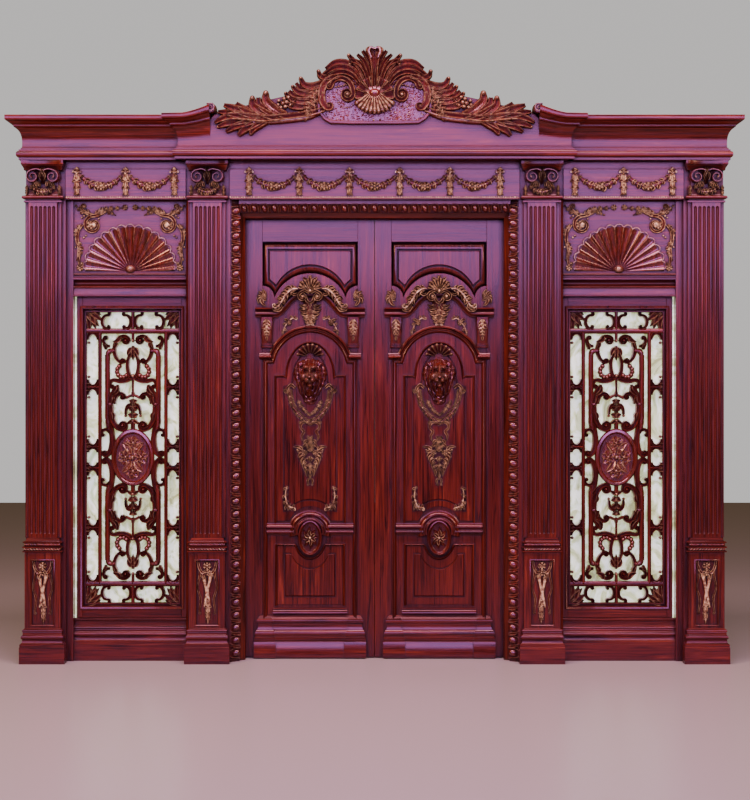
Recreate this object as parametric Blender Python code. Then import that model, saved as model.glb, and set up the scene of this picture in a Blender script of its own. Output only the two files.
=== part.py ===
"""Double-leaf wooden entrance door in a carved surround.

Two hinged leaves, two sidelights with carved grilles, four fluted pilasters, a swagged
frieze and a broken pediment with a carved crest.  Metres, +Z up, the front faces -Y, and
the origin is under the middle of the frame.  Depths called "proud" are measured forward
from the wall side of the frame.
"""

from math import atan2, cos, degrees, hypot, pi, radians, sin

import bmesh
import bpy
from mathutils import Matrix, Vector
from mathutils.geometry import delaunay_2d_cdt

# ---------------------------------------------------------------- driving dimensions

SEAT = 0.0003               # clearance between fixed pieces that touch
NAME = "carved_entrance_door"

# leaves
LEAF_WIDTH = 0.718
LEAF_HEIGHT = 2.422
LEAF_THICKNESS = 0.070
LEAF_SETBACK = 0.020        # from the wall side of the frame to the back of a leaf
FLOOR_GAP = 0.004
MEETING_GAP = 0.003         # between the leaves at their back faces
MEETING_BEVEL = 0.0055      # how much narrower a leaf is at its front face
SIDE_GAP = 0.005            # between a leaf's edge and the jamb
TOP_GAP = 0.005
STOP_LAP = 0.012            # how far the stop laps over a leaf's edge
STOP_GAP = 0.003            # between a leaf's face and the stop

# plan of the surround
STOP_WIDTH = 0.027          # plain fillets beside the carved architrave
EGG_BAND = 0.042
EGG_MARGIN = 0.006          # plain edge outside the carved architrave
INNER_POST_WIDTH = 0.240
BAY_WIDTH = 0.615
OUTER_POST_WIDTH = 0.250
PILASTER_WIDTH = 0.196
SHAFT_FACE_WIDTH = 0.156
PLINTH_SPREAD = 0.026       # from the die to the plinth block

# faces of the leaves
STILE_WIDTH = 0.091
TOP_RAIL = 0.136
UPPER_PANEL = 0.307
LOWER_PANEL = 0.350
PLINTH_TOP = 0.238          # of the plinth across the foot of a leaf

# depths, proud of the wall side
STOP_PROUD = 0.160
JAMB_PROUD = 0.240
POST_PROUD = 0.250
PILASTER_BACKING = 0.020
SHAFT_FACE_PROJECTION = 0.020
DIE_PROJECTION = 0.050
SIDE_CORNICE_BASE = 0.290
CENTRE_CORNICE_BASE = 0.345
CORNICE_REACH = 0.091       # from the base of the cornice to its top fascia
FRIEZE_THICKNESS = 0.014
CARTOUCHE_THICKNESS = 0.012
SASH_BACK = 0.100
SASH_THICKNESS = 0.070
PANEL_PROUD = 0.200
TRANSOM_PROUD = 0.205
BASE_RAIL_PROUD = 0.170

# heights
PLINTH_BLOCK = 0.091
BASE_MOULDING = 0.100
PEDESTAL_HEIGHT = 0.677
CAPITAL_HEIGHT = 0.226
CORNICE_HEIGHT = 0.234
BEAM_HEIGHT = 0.203
HEAD_MARGIN = 0.027         # plain edge over the carved architrave
SILL_HEIGHT = 0.2308
TRANSOM_HEIGHT = 0.125
SHELL_PANEL_HEIGHT = 0.401
TYMPANUM_RISE = 0.165       # of its middle above the cornice
CREST_RISE = 0.366          # of the crest's tip above the cornice

# sidelights
SASH_STILE = 0.033
SASH_TOP_RAIL = 0.067
SASH_BOTTOM_RAIL = 0.063
SASH_EDGE_SLIT = 0.012      # of bare glass at the outer edge of the sash
GLASS_THICKNESS = 0.006
GRILLE_THICKNESS = 0.026
GRILLE_SETBACK = 0.024      # from the face of the sash to the face of the grille
GRILLE_BORDER = 0.017

# flutes
FLUTES = 6
FLUTE_PITCH = 0.0237
FLUTE_RADIUS = 0.0065
FLUTE_MARGIN = 0.021        # from the ends of the shaft to the flutes

# hinges
HINGES = 3
HINGE_HEIGHT = 0.120
HINGE_END = 0.220           # from the ends of a leaf to the middle of the outer hinges
KNUCKLE_RADIUS = 0.007
PIN_RADIUS = 0.0026
PIN_CLEARANCE = 0.0008
KNUCKLE_CLEARANCE = 0.001   # from the knuckles to the back of a leaf
REVEAL_CLEARANCE = 0.002    # from the knuckles to the jamb
HINGE_PLATE = 0.0020
HINGE_PLATE_WIDTH = 0.040

# ---------------------------------------------------------------- derived places

DEPTH = CENTRE_CORNICE_BASE + CORNICE_REACH
LEAF_IN = MEETING_GAP / 2
LEAF_OUT = LEAF_IN + LEAF_WIDTH
REBATE_X = LEAF_OUT + SIDE_GAP
STOP_X = LEAF_OUT - STOP_LAP
EGG_X = STOP_X + STOP_WIDTH
JAMB_X = EGG_X + EGG_BAND + EGG_MARGIN
BAY_IN = JAMB_X + INNER_POST_WIDTH
BAY_OUT = BAY_IN + BAY_WIDTH
POST_OUT = BAY_OUT + OUTER_POST_WIDTH
INNER_AXIS = JAMB_X + INNER_POST_WIDTH / 2
OUTER_AXIS = POST_OUT - PILASTER_WIDTH / 2
PANEL_AXIS = (LEAF_IN + STOP_X) / 2
BAY_AXIS = (BAY_IN + BAY_OUT) / 2

LEAF_TOP = FLOOR_GAP + LEAF_HEIGHT
LEAF_BACK = LEAF_SETBACK
LEAF_FRONT = LEAF_BACK + LEAF_THICKNESS
HEAD_Z = LEAF_TOP - STOP_LAP
BEAM_Z = HEAD_Z + STOP_WIDTH + EGG_BAND + HEAD_MARGIN
CORNICE_Z = BEAM_Z + BEAM_HEIGHT
CORNICE_TOP = CORNICE_Z + CORNICE_HEIGHT
SHAFT_Z = PEDESTAL_HEIGHT
NECK_Z = CORNICE_Z - CAPITAL_HEIGHT
SHAFT_HEIGHT = NECK_Z - SHAFT_Z
SASH_Z = SILL_HEIGHT
PANEL_Z = BEAM_Z - SHELL_PANEL_HEIGHT
TRANSOM_Z = PANEL_Z - TRANSOM_HEIGHT
SASH_HEIGHT = TRANSOM_Z - SASH_Z
SHAFT_BACK = POST_PROUD + SEAT
SHAFT_BACKING_FRONT = POST_PROUD + PILASTER_BACKING
SHAFT_FRONT = SHAFT_BACKING_FRONT + SHAFT_FACE_PROJECTION
DIE_FRONT = POST_PROUD + DIE_PROJECTION
SASH_FRONT = SASH_BACK + SASH_THICKNESS
GRILLE_BACK = SASH_FRONT - GRILLE_SETBACK - GRILLE_THICKNESS
HINGE_X = LEAF_OUT + SIDE_GAP / 2
HINGE_PROUD = LEAF_BACK - KNUCKLE_RADIUS - KNUCKLE_CLEARANCE
REVEAL_X = HINGE_X + KNUCKLE_RADIUS + REVEAL_CLEARANCE

# ---------------------------------------------------------------- scene and materials

for old in list(bpy.data.objects):
    bpy.data.objects.remove(old, do_unlink=True)


def collection(name):
    made = bpy.data.collections.new(name)
    bpy.context.scene.collection.children.link(made)
    return made


PARTS = collection(NAME)
GUIDES = collection("cutters")


def material(name, colour, roughness, metallic=0.0, transmission=0.0):
    made = bpy.data.materials.new(name)
    made.use_nodes = True
    shader = made.node_tree.nodes["Principled BSDF"]
    shader.inputs["Base Color"].default_value = (*colour, 1.0)
    shader.inputs["Roughness"].default_value = roughness
    shader.inputs["Metallic"].default_value = metallic
    shader.inputs["Transmission Weight"].default_value = transmission
    return made


MAHOGANY = material("mahogany", (0.16, 0.020, 0.012), 0.22)
CARVING = material("gilded_carving", (0.30, 0.10, 0.035), 0.32, 0.25)
GLASS = material("art_glass", (0.80, 0.86, 0.66), 0.12, 0.0, 0.35)
STEEL = material("hinge_steel", (0.45, 0.42, 0.38), 0.35, 1.0)

# ---------------------------------------------------------------- solids


def at(x, proud, z):
    """World point of a place given across, proud of the wall side, and up."""
    return Vector((x, DEPTH / 2 - proud, z))


def keep(bm, name="piece"):
    """Turn a closed bmesh into an object with its faces pointing out."""
    bmesh.ops.recalc_face_normals(bm, faces=bm.faces)
    mesh = bpy.data.meshes.new(name)
    bm.to_mesh(mesh)
    bm.free()
    made = bpy.data.objects.new(name, mesh)
    GUIDES.objects.link(made)
    return made


def box(x, proud, z):
    """A block between two limits each way."""
    bm = bmesh.new()
    bmesh.ops.create_cube(bm, size=1.0)
    low = at(x[0], proud[0], z[0])
    high = at(x[1], proud[1], z[1])
    size = high - low
    bmesh.ops.scale(bm, vec=(abs(size.x), abs(size.y), abs(size.z)), verts=bm.verts)
    bmesh.ops.translate(bm, vec=(low + high) / 2, verts=bm.verts)
    return keep(bm)


def ball(centre, radii, sides=8, rings=6):
    """An ellipsoid, with its poles facing the front."""
    bm = bmesh.new()
    bmesh.ops.create_uvsphere(bm, u_segments=sides, v_segments=rings, radius=1.0)
    bmesh.ops.rotate(bm, matrix=Matrix.Rotation(pi / 2, 3, "X"), verts=bm.verts)
    bmesh.ops.scale(bm, vec=(radii[0], radii[1], radii[2]), verts=bm.verts)
    bmesh.ops.translate(bm, vec=at(*centre), verts=bm.verts)
    return keep(bm)


def disc(centre, radii, proud, sides=12):
    """A drum facing the front, which may be oval."""
    bm = bmesh.new()
    depth = proud[1] - proud[0]
    bmesh.ops.create_cone(bm, cap_ends=True, segments=sides, radius1=1.0, radius2=1.0, depth=depth)
    bmesh.ops.rotate(bm, matrix=Matrix.Rotation(pi / 2, 3, "X"), verts=bm.verts)
    bmesh.ops.scale(bm, vec=(radii[0], 1.0, radii[1]), verts=bm.verts)
    bmesh.ops.translate(bm, vec=at(centre[0], sum(proud) / 2, centre[1]), verts=bm.verts)
    return keep(bm)


def drum(x, proud, z, radius, sides=6):
    """An upright cylinder between two heights."""
    bm = bmesh.new()
    bmesh.ops.create_cone(bm, cap_ends=True, segments=sides, radius1=radius, radius2=radius,
                          depth=z[1] - z[0])
    bmesh.ops.translate(bm, vec=at(x, proud, sum(z) / 2), verts=bm.verts)
    return keep(bm)


def curve_solid(curve):
    """A curve's solid as a mesh object, with its caps welded on."""
    holder = bpy.data.objects.new("guide", curve)
    GUIDES.objects.link(holder)
    bpy.context.view_layer.update()
    graph = bpy.context.evaluated_depsgraph_get()
    mesh = bpy.data.meshes.new_from_object(holder.evaluated_get(graph))
    bm = bmesh.new()
    bm.from_mesh(mesh)
    bmesh.ops.remove_doubles(bm, verts=bm.verts, dist=0.00002)
    bpy.data.objects.remove(holder)
    bpy.data.meshes.remove(mesh)
    return keep(bm)


def tube(points, radii, resolution=0):
    """A round or four-sided bar through points, with a radius at each of them."""
    curve = bpy.data.curves.new("guide", "CURVE")
    curve.dimensions = "3D"
    curve.bevel_depth = 1.0
    curve.bevel_resolution = resolution
    curve.use_fill_caps = True
    spline = curve.splines.new("POLY")
    spline.points.add(len(points) - 1)
    for slot, place, radius in zip(spline.points, points, radii):
        slot.co = (*at(*place), 1.0)
        slot.radius = max(radius, 0.000001)
    return curve_solid(curve)


def span(x, z):
    """The outline of an upright rectangle between two limits each way."""
    return [(x[0], z[0]), (x[1], z[0]), (x[1], z[1]), (x[0], z[1])]


def ribbon(points, widths):
    """The outlines of a flat strip through points across and up, one for each of its lengths."""
    sides = []
    for k, (place, width) in enumerate(zip(points, widths)):
        before = Vector(points[max(k - 1, 0)])
        after = Vector(points[min(k + 1, len(points) - 1)])
        along = (after - before).normalized()
        edge = Vector((-along.y, along.x)) * width / 2
        sides.append((Vector(place) - edge, Vector(place) + edge))
    return [(a[0], b[0], b[1], a[1]) for a, b in zip(sides, sides[1:])]


def fretted(outlines, proud):
    """A flat board sawn to the union of convex outlines, between two depths."""
    places = []
    faces = []
    for outline in outlines:
        faces.append(list(range(len(places), len(places) + len(outline))))
        places += [Vector(place) for place in outline]
    corners, _, cells, _, _, owners = delaunay_2d_cdt(places, [], faces, 1, 0.00001)
    bm = bmesh.new()
    verts = [bm.verts.new(at(corner.x, proud[0], corner.y)) for corner in corners]
    for cell, owner in zip(cells, owners):
        if owner:
            bm.faces.new([verts[k] for k in cell])
    bmesh.ops.delete(bm, geom=[v for v in bm.verts if not v.link_faces], context="VERTS")
    bmesh.ops.recalc_face_normals(bm, faces=bm.faces)
    bmesh.ops.dissolve_limit(bm, angle_limit=radians(1.0), verts=bm.verts, edges=bm.edges)
    back = list(bm.faces)
    made = bmesh.ops.extrude_face_region(bm, geom=back, use_keep_orig=True)["geom"]
    moved = [item for item in made if isinstance(item, bmesh.types.BMVert)]
    bmesh.ops.translate(bm, vec=at(0, proud[1], 0) - at(0, proud[0], 0), verts=moved)
    return keep(bm)


def plate(outline, proud, chamfer=0.0):
    """A flat board of a given outline across and up, between two depths."""
    curve = bpy.data.curves.new("guide", "CURVE")
    curve.dimensions = "2D"
    curve.fill_mode = "BOTH"
    curve.extrude = (proud[1] - proud[0]) / 2 - chamfer
    curve.bevel_depth = chamfer
    curve.offset = -chamfer
    curve.bevel_resolution = 0
    spline = curve.splines.new("POLY")
    spline.points.add(len(outline) - 1)
    spline.use_cyclic_u = True
    for slot, (x, z) in zip(spline.points, outline):
        slot.co = (x, z, 0.0, 1.0)
    made = curve_solid(curve)
    turn = Matrix.Translation(at(0, sum(proud) / 2, 0)) @ Matrix.Rotation(pi / 2, 4, "X")
    made.data.transform(turn)
    return made


def loft(rings, closed=False):
    """A solid through rings of as many points each; open ends are capped."""
    bm = bmesh.new()
    rows = [[bm.verts.new(at(*place)) for place in ring] for ring in rings]
    pairs = list(zip(rows, rows[1:] + rows[:1])) if closed else list(zip(rows, rows[1:]))
    for low, high in pairs:
        for k in range(len(low)):
            n = (k + 1) % len(low)
            bm.faces.new((low[k], low[n], high[n], high[k]))
    if not closed:
        bm.faces.new(rows[0])
        bm.faces.new(list(reversed(rows[-1])))
    return keep(bm)


def moulded(outline, profile):
    """A block with mouldings run round it.

    outline holds (x, proud, sx, sp): a corner in plan and the way it moves as the
    moulding grows; profile holds (growth, z) from the bottom up.
    """
    return loft([[(x + sx * d, p + sp * d, z) for x, p, sx, sp in outline] for d, z in profile])


def sweep(path, section, closed=False):
    """A moulding run along a path across and up, mitred at its corners.

    section holds (offset, proud), the offset being to the left of the path.
    """
    count = len(path)
    rings = []
    for k, (x, z) in enumerate(path):
        before = path[k - 1] if closed or k else None
        after = path[(k + 1) % count] if closed or k < count - 1 else None
        ways = []
        for start, end in ((before, (x, z)), ((x, z), after)):
            if start is not None and end is not None:
                length = hypot(end[0] - start[0], end[1] - start[1])
                ways.append(((end[0] - start[0]) / length, (end[1] - start[1]) / length))
        normals = [(-way[1], way[0]) for way in ways]
        mitre = (sum(n[0] for n in normals), sum(n[1] for n in normals))
        square = mitre[0] ** 2 + mitre[1] ** 2
        stretch = 2 / square if len(ways) == 2 else 1.0
        rings.append([(x + mitre[0] * u * stretch, p, z + mitre[1] * u * stretch)
                      for u, p in section])
    return loft(rings, closed)


def scallop(centre, radius, lobes, spread, back, hub, mid, rim, groove=0.006, turn=pi / 2):
    """A fan-shaped shell: lobes between grooves from a hub to a scalloped rim.

    spread is the angle it fills and turn the way its middle points; hub, mid and rim
    are how proud it is there.
    """
    x0, z0 = centre
    steps = 2 * lobes
    full = spread > 2 * pi - 0.01
    angles = [turn - spread / 2 + spread * k / steps for k in range(steps + (0 if full else 1))]
    rows = []
    bm = bmesh.new()
    for share, high in ((0.5, mid), (1.0, rim)):
        row = []
        for k, angle in enumerate(angles):
            ridge = k % 2
            reach = radius * share * (1.0 if ridge else 1.0 - 0.09 * share)
            proud = high - (0.0 if ridge else groove * share)
            row.append(bm.verts.new(at(x0 + reach * cos(angle), proud, z0 + reach * sin(angle))))
        rows.append(row)
    under = []
    for k, angle in enumerate(angles):
        reach = radius * (1.0 if k % 2 else 0.91)
        under.append(bm.verts.new(at(x0 + reach * cos(angle), back, z0 + reach * sin(angle))))
    top = bm.verts.new(at(x0, hub, z0))
    count = len(angles)
    wraps = range(count) if full else range(count - 1)
    for k in wraps:
        n = (k + 1) % count
        bm.faces.new((top, rows[0][k], rows[0][n]))
        bm.faces.new((rows[0][k], rows[1][k], rows[1][n], rows[0][n]))
        bm.faces.new((rows[1][k], under[k], under[n], rows[1][n]))
    if full:
        bm.faces.new(under)
    else:
        foot = bm.verts.new(at(x0, back, z0))
        bm.faces.new([foot] + under)
        bm.faces.new((foot, top, rows[0][0], rows[1][0], under[0]))
        bm.faces.new((foot, under[-1], rows[1][-1], rows[0][-1], top))
    return keep(bm)


def joined(base, pieces, operation="UNION"):
    """The base with the pieces added to it or cut from it, as one object."""
    tools = bpy.data.collections.new("tools")
    GUIDES.children.link(tools)
    for piece in pieces:
        GUIDES.objects.unlink(piece)
        tools.objects.link(piece)
    change = base.modifiers.new("change", "BOOLEAN")
    change.operation = operation
    change.solver = "EXACT"
    change.operand_type = "COLLECTION"
    change.collection = tools
    bpy.context.view_layer.update()
    graph = bpy.context.evaluated_depsgraph_get()
    mesh = bpy.data.meshes.new_from_object(base.evaluated_get(graph))
    base.modifiers.clear()
    old = base.data
    base.data = mesh
    bpy.data.meshes.remove(old)
    for piece in pieces:
        bpy.data.objects.remove(piece)
    bpy.data.collections.remove(tools)
    bm = bmesh.new()
    bm.from_mesh(base.data)
    bmesh.ops.remove_doubles(bm, verts=bm.verts, dist=0.00005)
    bmesh.ops.dissolve_degenerate(bm, edges=bm.edges, dist=0.00005)
    bmesh.ops.dissolve_limit(bm, angle_limit=radians(0.5), verts=bm.verts, edges=bm.edges)
    bmesh.ops.delete(bm, geom=[edge for edge in bm.edges if not edge.link_faces], context="EDGES")
    bmesh.ops.delete(bm, geom=[vert for vert in bm.verts if not vert.link_faces], context="VERTS")
    bm.to_mesh(base.data)
    bm.free()
    return base


def mirrored(piece):
    """A copy of a piece on the other side of the door's middle plane."""
    bm = bmesh.new()
    bm.from_mesh(piece.data)
    bmesh.ops.scale(bm, vec=(-1.0, 1.0, 1.0), verts=bm.verts)
    return keep(bm)


def node(name, piece, finish, parent=None):
    """Put a finished piece in the model under its own name."""
    GUIDES.objects.unlink(piece)
    PARTS.objects.link(piece)
    piece.name = name
    piece.data.name = name
    piece.data.materials.clear()
    piece.data.materials.append(finish)
    piece.data.shade_smooth()
    piece.data.set_sharp_from_angle(angle=radians(32))
    if parent is not None:
        piece.data.transform(Matrix.Translation(-parent.location))
        piece.parent = parent
    return piece


def pair(name, piece, finish, parents=(None, None)):
    """A left-hand piece and its mirror image on the right."""
    other = mirrored(piece)
    node(name + "_left", piece, finish, parents[0])
    node(name + "_right", other, finish, parents[1])


# ---------------------------------------------------------------- outlines


def arc(centre, radius, start, end, steps):
    """Points round a circle, from one angle to another in degrees."""
    turns = [radians(start + (end - start) * k / steps) for k in range(steps + 1)]
    return [(centre[0] + radius * cos(t), centre[1] + radius * sin(t)) for t in turns]


def shifted(points, x, z=0.0):
    return [(px + x, pz + z) for px, pz in points]


def both(half):
    """A closed outline from its left half, listed from the bottom middle round to the top."""
    return half + [(-x, z) for x, z in reversed(half) if abs(x) > 1e-6]


# ---------------------------------------------------------------- carved ornament

BLUNT_TIP = 0.002           # least width of a carved point


def carved(points, widths, bed, height=0.6):
    """A carved strand lying on a flat bed, with a ridge along its middle.

    points are across and up, widths its width at each, and height its share of that.
    """
    last = len(points) - 1
    rings = []
    for k, (x, z) in enumerate(points):
        ahead = points[min(k + 1, last)]
        behind = points[max(k - 1, 0)]
        length = hypot(ahead[0] - behind[0], ahead[1] - behind[1])
        half = max(widths[k], BLUNT_TIP) / 2
        across = -(ahead[1] - behind[1]) / length * half
        up = (ahead[0] - behind[0]) / length * half
        ridge = bed + 2 * half * height
        rings.append([(x + across, bed, z + up), (x, ridge, z), (x - across, bed, z - up)])
    return loft(rings)


def leaf(start, end, width, bed, bend=0.0, height=0.6):
    """A pointed carved leaf between two places across and up."""
    x0, z0 = start
    x1, z1 = end
    middle = ((x0 + x1) / 2 - (z1 - z0) * bend, (z0 + z1) / 2 + (x1 - x0) * bend)
    return carved([start, middle, end], [width * 0.6, width, 0.0], bed, height)


def garland(x0, x1, z, sag, width, bed, height=0.6):
    """A swag between two hanging points, thickest in its middle."""
    places = []
    widths = []
    for k in range(5):
        share = k / 4
        droop = 4 * share * (1 - share)
        places.append((x0 + (x1 - x0) * share, z - sag * droop))
        widths.append(width * (0.35 + 0.65 * droop ** 0.7))
    return carved(places, widths, bed, height)


def pendant(x, top, bottom, width, bed):
    """A drop of husks hanging straight down."""
    shape = ((0.0, 0.1), (0.25, 0.5), (0.80, 1.0), (1.0, 0.4))
    places = [(x, top + (bottom - top) * share) for share, _ in shape]
    return carved(places, [width * wide for _, wide in shape], bed)


def bead_row(start, end, count, radius, waist):
    """A row of eggs as one bar that swells and narrows."""
    places = []
    radii = []
    for k in range(2 * count + 1):
        share = k / (2 * count)
        places.append(tuple(a + (b - a) * share for a, b in zip(start, end)))
        radii.append(radius if k % 2 else waist)
    return tube(places, radii)


# ---------------------------------------------------------------- shared mouldings

# the base that runs round pedestals and base rails: growth from the die, height
BASE_PROFILE = [(PLINTH_SPREAD, 0.0), (PLINTH_SPREAD, PLINTH_BLOCK)]
for grow, rise in ((0.92, 0.14), (0.50, 0.30), (0.40, 0.50), (0.64, 0.60), (0.36, 0.76), (0.46, 0.90)):
    BASE_PROFILE.append((PLINTH_SPREAD * grow, PLINTH_BLOCK + BASE_MOULDING * rise))

# the cornice: growth over its base, share of its height, from the bottom up
CORNICE_PROFILE = [
    (0.30, 0.0), (0.30, 0.055), (0.40, 0.10), (0.43, 0.17), (0.36, 0.22), (0.19, 0.24), (0.16, 0.30),
    (0.13, 0.47), (0.16, 0.57), (0.26, 0.66), (0.45, 0.735), (0.58, 0.745), (0.58, 0.81),
    (0.68, 0.87), (0.97, 0.885), (1.0, 0.91), (1.0, 1.0)]


def cornice_profile(low=0.0, high=1.0):
    """The part of the cornice profile between two shares of its height, and its ends."""
    points = [(g, s) for g, s in CORNICE_PROFILE if low <= s <= high]
    return [(g * CORNICE_REACH, CORNICE_Z + SEAT + s * (CORNICE_HEIGHT - SEAT)) for g, s in points]


# ---------------------------------------------------------------- pilasters


def shaft(axis):
    """A fluted pilaster board on its wider backing."""
    half = PILASTER_WIDTH / 2
    face = SHAFT_FACE_WIDTH / 2
    body = loft([[(axis - half, SHAFT_BACK, z), (axis - half, SHAFT_BACKING_FRONT, z),
                  (axis - face, SHAFT_BACKING_FRONT, z), (axis - face, SHAFT_FRONT, z),
                  (axis + face, SHAFT_FRONT, z), (axis + face, SHAFT_BACKING_FRONT, z),
                  (axis + half, SHAFT_BACKING_FRONT, z), (axis + half, SHAFT_BACK, z)]
                 for z in (SHAFT_Z + SEAT, SHAFT_Z + SHAFT_HEIGHT - SEAT)])
    cutters = []
    low = SHAFT_Z + FLUTE_MARGIN + FLUTE_RADIUS
    high = SHAFT_Z + SHAFT_HEIGHT - FLUTE_MARGIN - FLUTE_RADIUS
    for k in range(FLUTES):
        x = axis + (k - (FLUTES - 1) / 2) * FLUTE_PITCH
        ends = ((low - FLUTE_RADIUS, 0.35), (low, 1.0), (high, 1.0), (high + FLUTE_RADIUS, 0.35))
        cutters.append(tube([(x, SHAFT_FRONT, z) for z, _ in ends],
                            [FLUTE_RADIUS * share for _, share in ends], resolution=1))
    return joined(body, cutters, "DIFFERENCE")


def capital(axis):
    """A capital with corner volutes, a middle leaf and a swag under a hollow-sided abacus."""
    width = PILASTER_WIDTH
    half = width / 2
    low = NECK_Z
    high = CORNICE_Z
    rise = high - low
    front = SHAFT_FRONT
    corner = [(axis - half, SHAFT_BACK, -1, 0), (axis - half, front, -1, 1),
              (axis + half, front, 1, 1), (axis + half, SHAFT_BACK, 1, 0)]
    neck = [(0.004, 0.0), (0.004, 0.06), (-0.006, 0.08), (0.012, 0.12), (-0.014, 0.16), (-0.012, 0.84)]
    body = moulded(corner, [(d, low + SEAT + rise * s) for d, s in neck])
    reach = half + 0.016
    hollow = 0.014
    lid = [(axis - reach, SHAFT_BACK), (axis - reach, front + 0.030)]
    for k in range(1, 4):
        t = k / 4 * 2 - 1
        lid.append((axis + t * reach * 0.92, front + 0.030 - hollow * (1 - t * t)))
    lid += [(axis + reach, front + 0.030), (axis + reach, SHAFT_BACK)]
    top = loft([[(axis + (x - axis) * w, p * d + SHAFT_BACK * (1 - d), z) for x, p in lid]
                for w, d, z in ((0.93, 0.90, low + rise * 0.80), (1.0, 1.0, low + rise * 0.90),
                                (1.0, 1.0, high - SEAT))])
    pieces = [top]
    for side in (-1, 1):
        eye = (axis + side * 0.062, low + rise * 0.58)
        pieces.append(ball((eye[0], front, eye[1]), (0.036, 0.034, 0.036), 8, 4))
    pieces.append(leaf((axis, low + rise * 0.40), (axis, low + rise * 0.92), 0.076, front - 0.030, 0.0, 0.8))
    pieces.append(garland(axis - 0.058, axis + 0.058, low + rise * 0.40, 0.040, 0.036, front - 0.030, 1.1))
    return joined(body, pieces)


def pedestal(axis):
    """A pedestal: plinth block and base mouldings, a die with a sunk carved panel, and two
    rope mouldings under the shaft."""
    half = PILASTER_WIDTH / 2 - 0.002
    face = DIE_FRONT
    corner = [(axis - half, SHAFT_BACK, -1, 0), (axis - half, face, -1, 1),
              (axis + half, face, 1, 1), (axis + half, SHAFT_BACK, 1, 0)]
    top = PEDESTAL_HEIGHT - SEAT
    head = [(0.0, top - 0.078), (0.012, top - 0.070), (0.012, top - 0.056), (-0.004, top - 0.048),
            (-0.004, top - 0.034), (0.007, top - 0.026), (0.007, top - 0.016), (-0.008, top - 0.009),
            (-0.010, top)]
    body = moulded(corner, BASE_PROFILE + [(0.0, PLINTH_BLOCK + BASE_MOULDING + 0.002)] + head)
    low = PLINTH_BLOCK + BASE_MOULDING + 0.011
    high = top - 0.115
    wide = 0.064
    sunk = 0.014
    body = joined(body, [box((axis - wide, axis + wide), (face - sunk, face + 0.01), (low, high))],
                  "DIFFERENCE")
    bed = face - sunk
    drop = high - low
    under = bed - 0.002
    trophy = [
        garland(axis - 0.046, axis + 0.046, high - drop * 0.06, 0.062, 0.024, under),
        leaf((axis, high - drop * 0.04), (axis, high - drop * 0.28), 0.044, under, 0.0, 0.4),
        carved([(axis + 0.012, high - drop * 0.22), (axis - 0.008, high - drop * 0.44),
                (axis + 0.004, high - drop * 0.64), (axis, high - drop * 0.92)],
               [0.024, 0.044, 0.040, 0.004], under, 0.4),
        leaf((axis - 0.042, high - drop * 0.22), (axis - 0.030, high - drop * 0.82), 0.014, under, -0.05),
        leaf((axis + 0.042, high - drop * 0.22), (axis + 0.034, high - drop * 0.84), 0.014, under, 0.05)]
    return joined(body, trophy)


for side, axis in (("outer", OUTER_AXIS), ("inner", INNER_AXIS)):
    pair(f"shaft_{side}", shaft(-axis), MAHOGANY)
    pair(f"capital_{side}", capital(-axis), CARVING)
    pair(f"pedestal_{side}", pedestal(-axis), MAHOGANY)

# ---------------------------------------------------------------- posts, jambs and beam

outer_post = loft([[(-BAY_OUT, 0, z), (-BAY_OUT, PANEL_PROUD + 0.012, z),
                    (-POST_OUT + PILASTER_WIDTH + 0.018, PANEL_PROUD + 0.012, z),
                    (-POST_OUT + PILASTER_WIDTH + 0.018, POST_PROUD, z),
                    (-POST_OUT, POST_PROUD, z), (-POST_OUT, 0, z)]
                   for z in (0.0, BEAM_Z - SEAT)])
pair("post", outer_post, MAHOGANY)

LEAF_STOP = LEAF_FRONT + STOP_GAP
jamb = loft([[(-BAY_IN + SEAT, 0, z), (-BAY_IN + SEAT, POST_PROUD - 0.012, z),
              (-BAY_IN + 0.014, POST_PROUD, z), (-JAMB_X, POST_PROUD, z), (-JAMB_X, JAMB_PROUD, z),
              (-EGG_X, JAMB_PROUD, z), (-EGG_X, JAMB_PROUD - 0.030, z),
              (-EGG_X + 0.010, JAMB_PROUD - 0.034, z), (-EGG_X + 0.010, STOP_PROUD + 0.012, z),
              (-STOP_X, STOP_PROUD, z), (-STOP_X, LEAF_STOP, z), (-REBATE_X, LEAF_STOP, z),
              (-REBATE_X, LEAF_BACK, z), (-REVEAL_X, LEAF_BACK, z), (-REVEAL_X, 0, z)]
             for z in (0.0, BEAM_Z - SEAT)])
EGG_PITCH_UP = 0.0690
eggs_up = int(round((BEAM_Z - 0.012) / EGG_PITCH_UP))
egg_x = EGG_X + EGG_BAND / 2
eggs = bead_row((-egg_x, JAMB_PROUD - 0.002, 0.006), (-egg_x, JAMB_PROUD - 0.002, BEAM_Z - 0.012),
                eggs_up, 0.018, 0.008)
pair("jamb", joined(jamb, [eggs]), MAHOGANY)

head_half = STOP_X - SEAT
stop_top = HEAD_Z + STOP_WIDTH
head = loft([[(x, 0, LEAF_TOP + TOP_GAP), (x, LEAF_STOP, LEAF_TOP + TOP_GAP), (x, LEAF_STOP, HEAD_Z),
              (x, STOP_PROUD, HEAD_Z), (x, STOP_PROUD + 0.012, stop_top - 0.010),
              (x, JAMB_PROUD - 0.034, stop_top - 0.010), (x, JAMB_PROUD - 0.030, stop_top),
              (x, JAMB_PROUD, stop_top), (x, JAMB_PROUD, BEAM_Z - SEAT), (x, 0, BEAM_Z - SEAT)]
             for x in (-head_half, head_half)])
EGG_PITCH_ACROSS = 0.0538
eggs_across = int(round(2 * head_half / EGG_PITCH_ACROSS))
row_half = head_half - 0.004
egg_z = stop_top + EGG_BAND / 2
across = bead_row((-row_half, JAMB_PROUD - 0.002, egg_z), (row_half, JAMB_PROUD - 0.002, egg_z),
                  eggs_across, 0.018, 0.008)
node("door_head", joined(head, [across]), MAHOGANY)

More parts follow.
